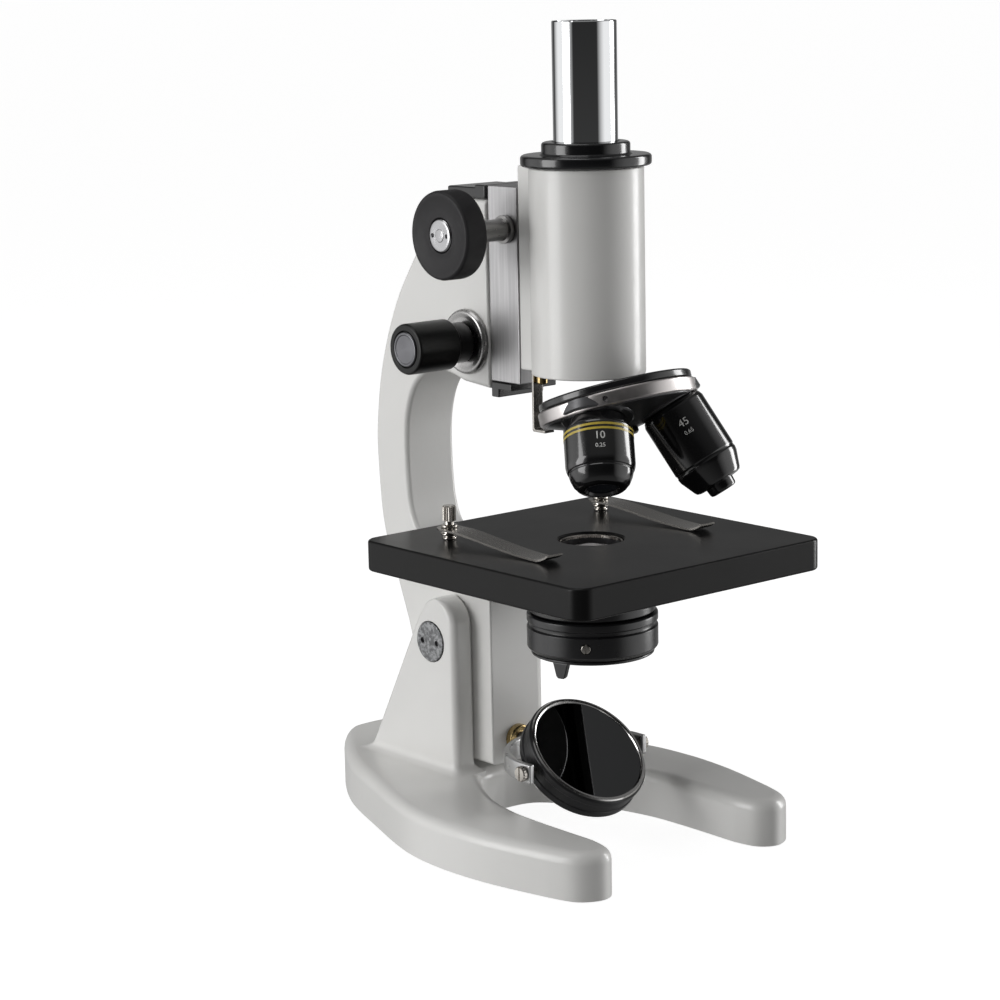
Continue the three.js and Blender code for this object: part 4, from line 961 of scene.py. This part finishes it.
# ---------- click spring ----------
# A bent strip of spring steel under the tube's boss, held by a brass screw, drops into a notch
# in the nosepiece's rim at each objective.
SPRING_X, SPRING_Y, SPRING_HALF = -9.5, 20.5, 2.5
spring_side = [(15.1, 65.8), (14.8, 65.3), (14.8, 64.8), (19.5, 64.8), (19.5, 43.4), (18.9, 43),
               (13.4, 43), (13.1, 42.7), (13.1, 42), (19.9, 42), (20.5, 42.6), (20.5, 65.2), (19.9, 65.8)]
spring = plate(spring_side, -SPRING_HALF, SPRING_HALF, "X")
soften(spring, 0.2, 2, 50)
finished(shifted(spring, x=SPRING_X), "click_strip", blade_steel, "tube", ["detent_spring"])
click_screw = turned([(0, 61.1), (1.7, 61.1), (2.2, 61.6), (2.2, 64.5), (0, 64.5)], 48, 0.15, 2)
click_screw = combined(click_screw, block((-3, 3), (-0.3, 0.3), (60, 61.9), 0.02, 1), "DIFFERENCE")
shifted(click_screw, SPRING_X, SPRING_Y - 3.5)
finished(click_screw, "click_screw", brass, "tube", ["detent_screw"])

# ---------- nosepiece ----------
# A fixed black plate, then the turret: a dark dome with a bright turned rim and three raised
# seats, which turns on a shouldered screw.
dial = turned([(3.3, -6.2), (29.6, -6.2), (30.2, -5.6), (30.2, -3.6), (29.8, -3.0), (3.3, -3.0)], 160, 0.2, 2)
dial = combined(moved(dial, nose_axes), rod(9.6, 30, 80), "DIFFERENCE")
finished(dial, "nosepiece_dial", gloss_black, "tube", ["nosepiece_plate"])

SHOULDER = 6
rim_steel = Finish("turned_rim_steel", (0.64, 0.61, 0.6), 0.32, 1.0)
rim_steel.vary_roughness(rim_steel.noise(500, 5), 0.18)
rim_steel.emboss(rim_steel.noise(900, 4, rim_steel.place(stretch=(1, 1, 12))), 0.000008, 0.6)
rim = turned(
    [(27.5, -2.7), (30.8, -2.7), (31.2, -2.3), (31.3, -1.8), (31.3, 1.7), (31.1, 2.3), (30.6, 2.7),
     (27.5, 2.7)], 192,
)
for notch in range(3):
    angle = notch * 2 * math.pi / 3 - NOSE_TURN - math.pi / 2 + math.pi
    cutter = moved(rod(1.1, 29, 34, 24), Matrix.Rotation(angle, 4, "Z") @ outward(1, 0, 0))
    rim = combined(rim, cutter, "DIFFERENCE")
finished(moved(rim, nose_axes), "nosepiece_rim", rim_steel, "nosepiece", ["nosepiece_turret"])


def at_seat(turn):
    """Places a piece made down its own axis in a seat of the turret."""
    lean = Matrix.Translation((0, NOSE_CIRCLE, 0)) @ Matrix.Rotation(-NOSE_TILT, 4, "X")
    return nose_axes @ Matrix.Rotation(NOSE_TURN - turn, 4, "Z") @ lean


SEATS = {"low": 0, "medium": 2 * math.pi / 3, "high": -2 * math.pi / 3}
gunmetal = Finish("gunmetal_dome", (0.1, 0.1, 0.104), 0.32, 0.7,
                  fixed={"Coat Weight": 0.2, "Coat Roughness": 0.2})
gunmetal.vary_roughness(gunmetal.noise(400, 5), 0.16)
gunmetal.emboss(gunmetal.noise(900, 3), 0.00003, 0.6)
dome = turned(
    [(0, -2.2), (29.2, -2.2), (29.2, 2.9), (28.4, 3.5), (24, 4.9), (18, 6.9), (12, 8.9), (8, 10.2),
     (5.4, 10.8), (0, 10.8)],
    160, 0.3, 3, 25,
)
moved(dome, nose_axes)
for turn in SEATS.values():
    seat_ring = turned([(0, 2), (14.2, 2), (14.2, 5.6), (13.6, SHOULDER + 0.1), (0, SHOULDER + 0.1)], 96)
    dome = combined(dome, moved(seat_ring, at_seat(turn)))
finished(dome, "nosepiece_dome", gunmetal, "nosepiece", ["nosepiece_turret"])
boss_screw = turned([(0, -6.2), (3, -6.2), (3, 10.9), (5.5, 10.9), (5.5, 12.2), (4.7, 13.0), (0, 13.3)],
                    64, 0.15, 2)
boss_screw = slotted(boss_screw, 1.1, 1.1, 13.3, 8)
finished(moved(boss_screw, nose_axes), "nosepiece_boss_screw", plain_steel, "nosepiece",
         ["nosepiece_screw"])

# ---------- objectives ----------
# Brass barrels in gloss black lacquer, the medium one with two yellow bands for its power.
# The short one stands at the back; the medium and the long one lean out at the front.
objective_black = Finish(
    "objective_black_lacquer", (0.007, 0.007, 0.0075), 0.16,
    fixed={"Coat Weight": 0.6, "Coat Roughness": 0.05},
)
objective_black.vary_roughness(objective_black.noise(300, 4), 0.1)
objective_black.emboss(objective_black.noise(900, 2), 0.00002, 0.4)
BARRELS = {
    "low": [(9.8, 6.3), (12.4, 6.3), (13.2, 7.0), (13.2, 9.4), (12.8, 9.7), (12.8, 10.2), (13.2, 10.5),
            (13.2, 16.8), (12.9, 17.6), (9.8, 20.8), (9.2, 21.3), (6.4, 21.6)],
    "medium": [(9.8, 6.3), (10.8, 6.5), (11.2, 7.4), (11.7, 8.9), (13.0, 10.9), (13.4, 12.0),
               (13.4, 25.0), (13.2, 26.4), (12.75, 27.6), (12.35, 27.7), (12.1, 28.2), (12.3, 28.7),
               (11.9, 30.2), (10.8, 32.6), (10.2, 33.2), (9.5, 34.1), (8.7, 34.7), (7.2, 35.0)],
    "high": [(9.8, 6.3), (11.6, 6.4), (12.4, 7.2), (13.0, 8.8), (13.0, 30.6), (12.7, 31.0), (12.7, 31.8),
             (12.9, 32.3), (12.6, 34.0), (10.2, 40.0), (9.6, 40.9), (8.2, 41.4), (5.8, 41.6), (5.6, 44.0),
             (5.2, 44.7), (4.2, 45.0)],
}
BANDS = {"low": [], "medium": [(12.3, 0.9), (14.1, 0.9)], "high": []}
THREAD = 9.1


def figures(text, radius, along, around, tall):
    """Painted figures that wrap round a barrel whose axis is +Z, read with the front lens down."""
    curve = bpy.data.curves.new("figures", "FONT")
    curve.body = text
    curve.size = tall
    curve.align_x = "CENTER"
    curve.align_y = "CENTER"
    curve.extrude = 0.02
    curve.resolution_u = 3
    work = bpy.data.objects.new("figures", curve)
    bpy.context.scene.collection.objects.link(work)
    flat = bmesh.new()
    settled = work.evaluated_get(bpy.context.evaluated_depsgraph_get())
    flat.from_mesh(settled.to_mesh())
    settled.to_mesh_clear()
    bpy.data.objects.remove(work)
    bmesh.ops.remove_doubles(flat, verts=flat.verts, dist=0.0005)
    for vertex in flat.verts:
        angle = around - vertex.co.x / radius
        deep = radius + vertex.co.z + 0.02
        vertex.co = (deep * math.cos(angle), deep * math.sin(angle), along - vertex.co.y)
    return flat


band_paint = Finish("yellow_band_paint", (0.55, 0.42, 0.05), 0.35, fixed={"Coat Weight": 0.3})
band_paint.tint(band_paint.ramp(band_paint.noise(500, 4), [(0.4, 0.0), (0.8, 1.0)]), (0.42, 0.31, 0.04))
band_paint.vary_roughness(band_paint.noise(600, 3), 0.15)
figure_paint = Finish("white_figure_paint", (0.72, 0.72, 0.7), 0.5)
figure_paint.vary_roughness(figure_paint.noise(900, 3), 0.2)
lens_front = Finish("front_lens_glass", (0.03, 0.035, 0.045), 0.03,
                    fixed={"Coat Weight": 1.0, "Coat Roughness": 0.02})
lens_front.vary_roughness(lens_front.noise(600, 2), 0.02)
for power, barrel in BARRELS.items():
    tip, end = barrel[-1]
    profile = [(0, 3), (THREAD, 3), (THREAD, 6.3), *barrel, (tip - 0.6, end), (tip - 1.2, end - 1.2),
               (0, end - 1.2)]
    body = moved(turned(profile, 144, 0.1, 2, 30), at_seat(SEATS[power]))
    finished(body, f"objective_{power}_barrel", objective_black, "nosepiece", [f"objective_{power}"])
    glass = turned([(0, end - 1.3), (tip - 1.5, end - 1.3), (tip - 1.5, end - 0.9), (0, end - 0.6)], 64)
    moved(glass, at_seat(SEATS[power]))
    finished(glass, f"objective_{power}_glass", lens_front, "nosepiece", [f"objective_{power}"])
    for number, (place, width) in enumerate(BANDS[power]):
        band = turned([(13.3, place), (13.46, place), (13.46, place + width), (13.3, place + width)], 144)
        moved(band, at_seat(SEATS[power]))
        finished(band, f"objective_{power}_band_{number}", band_paint, "nosepiece",
                 [f"objective_{power}"])

# Figures of the power and the aperture are filled with white paint and face the viewpoint.
FIGURES = {"medium": ("10", "0.25", 13.4, 17.6), "high": ("45", "0.65", 13.0, 15.0)}
for power, (magnification, aperture, radius, place) in FIGURES.items():
    seat_place = at_seat(SEATS[power])
    seen = seat_place.to_3x3().inverted() @ camera_back
    facing = math.atan2(seen.y, seen.x)
    for words, tall, down in ((magnification, 4.2, place), (aperture, 2.3, place + 4.0)):
        painted = figures(words, radius, down, facing, tall)
        name = f"objective_{power}_figures_{'power' if tall > 4 else 'aperture'}"
        finished(moved(painted, seat_place), name, figure_paint, "nosepiece", [f"objective_{power}"])
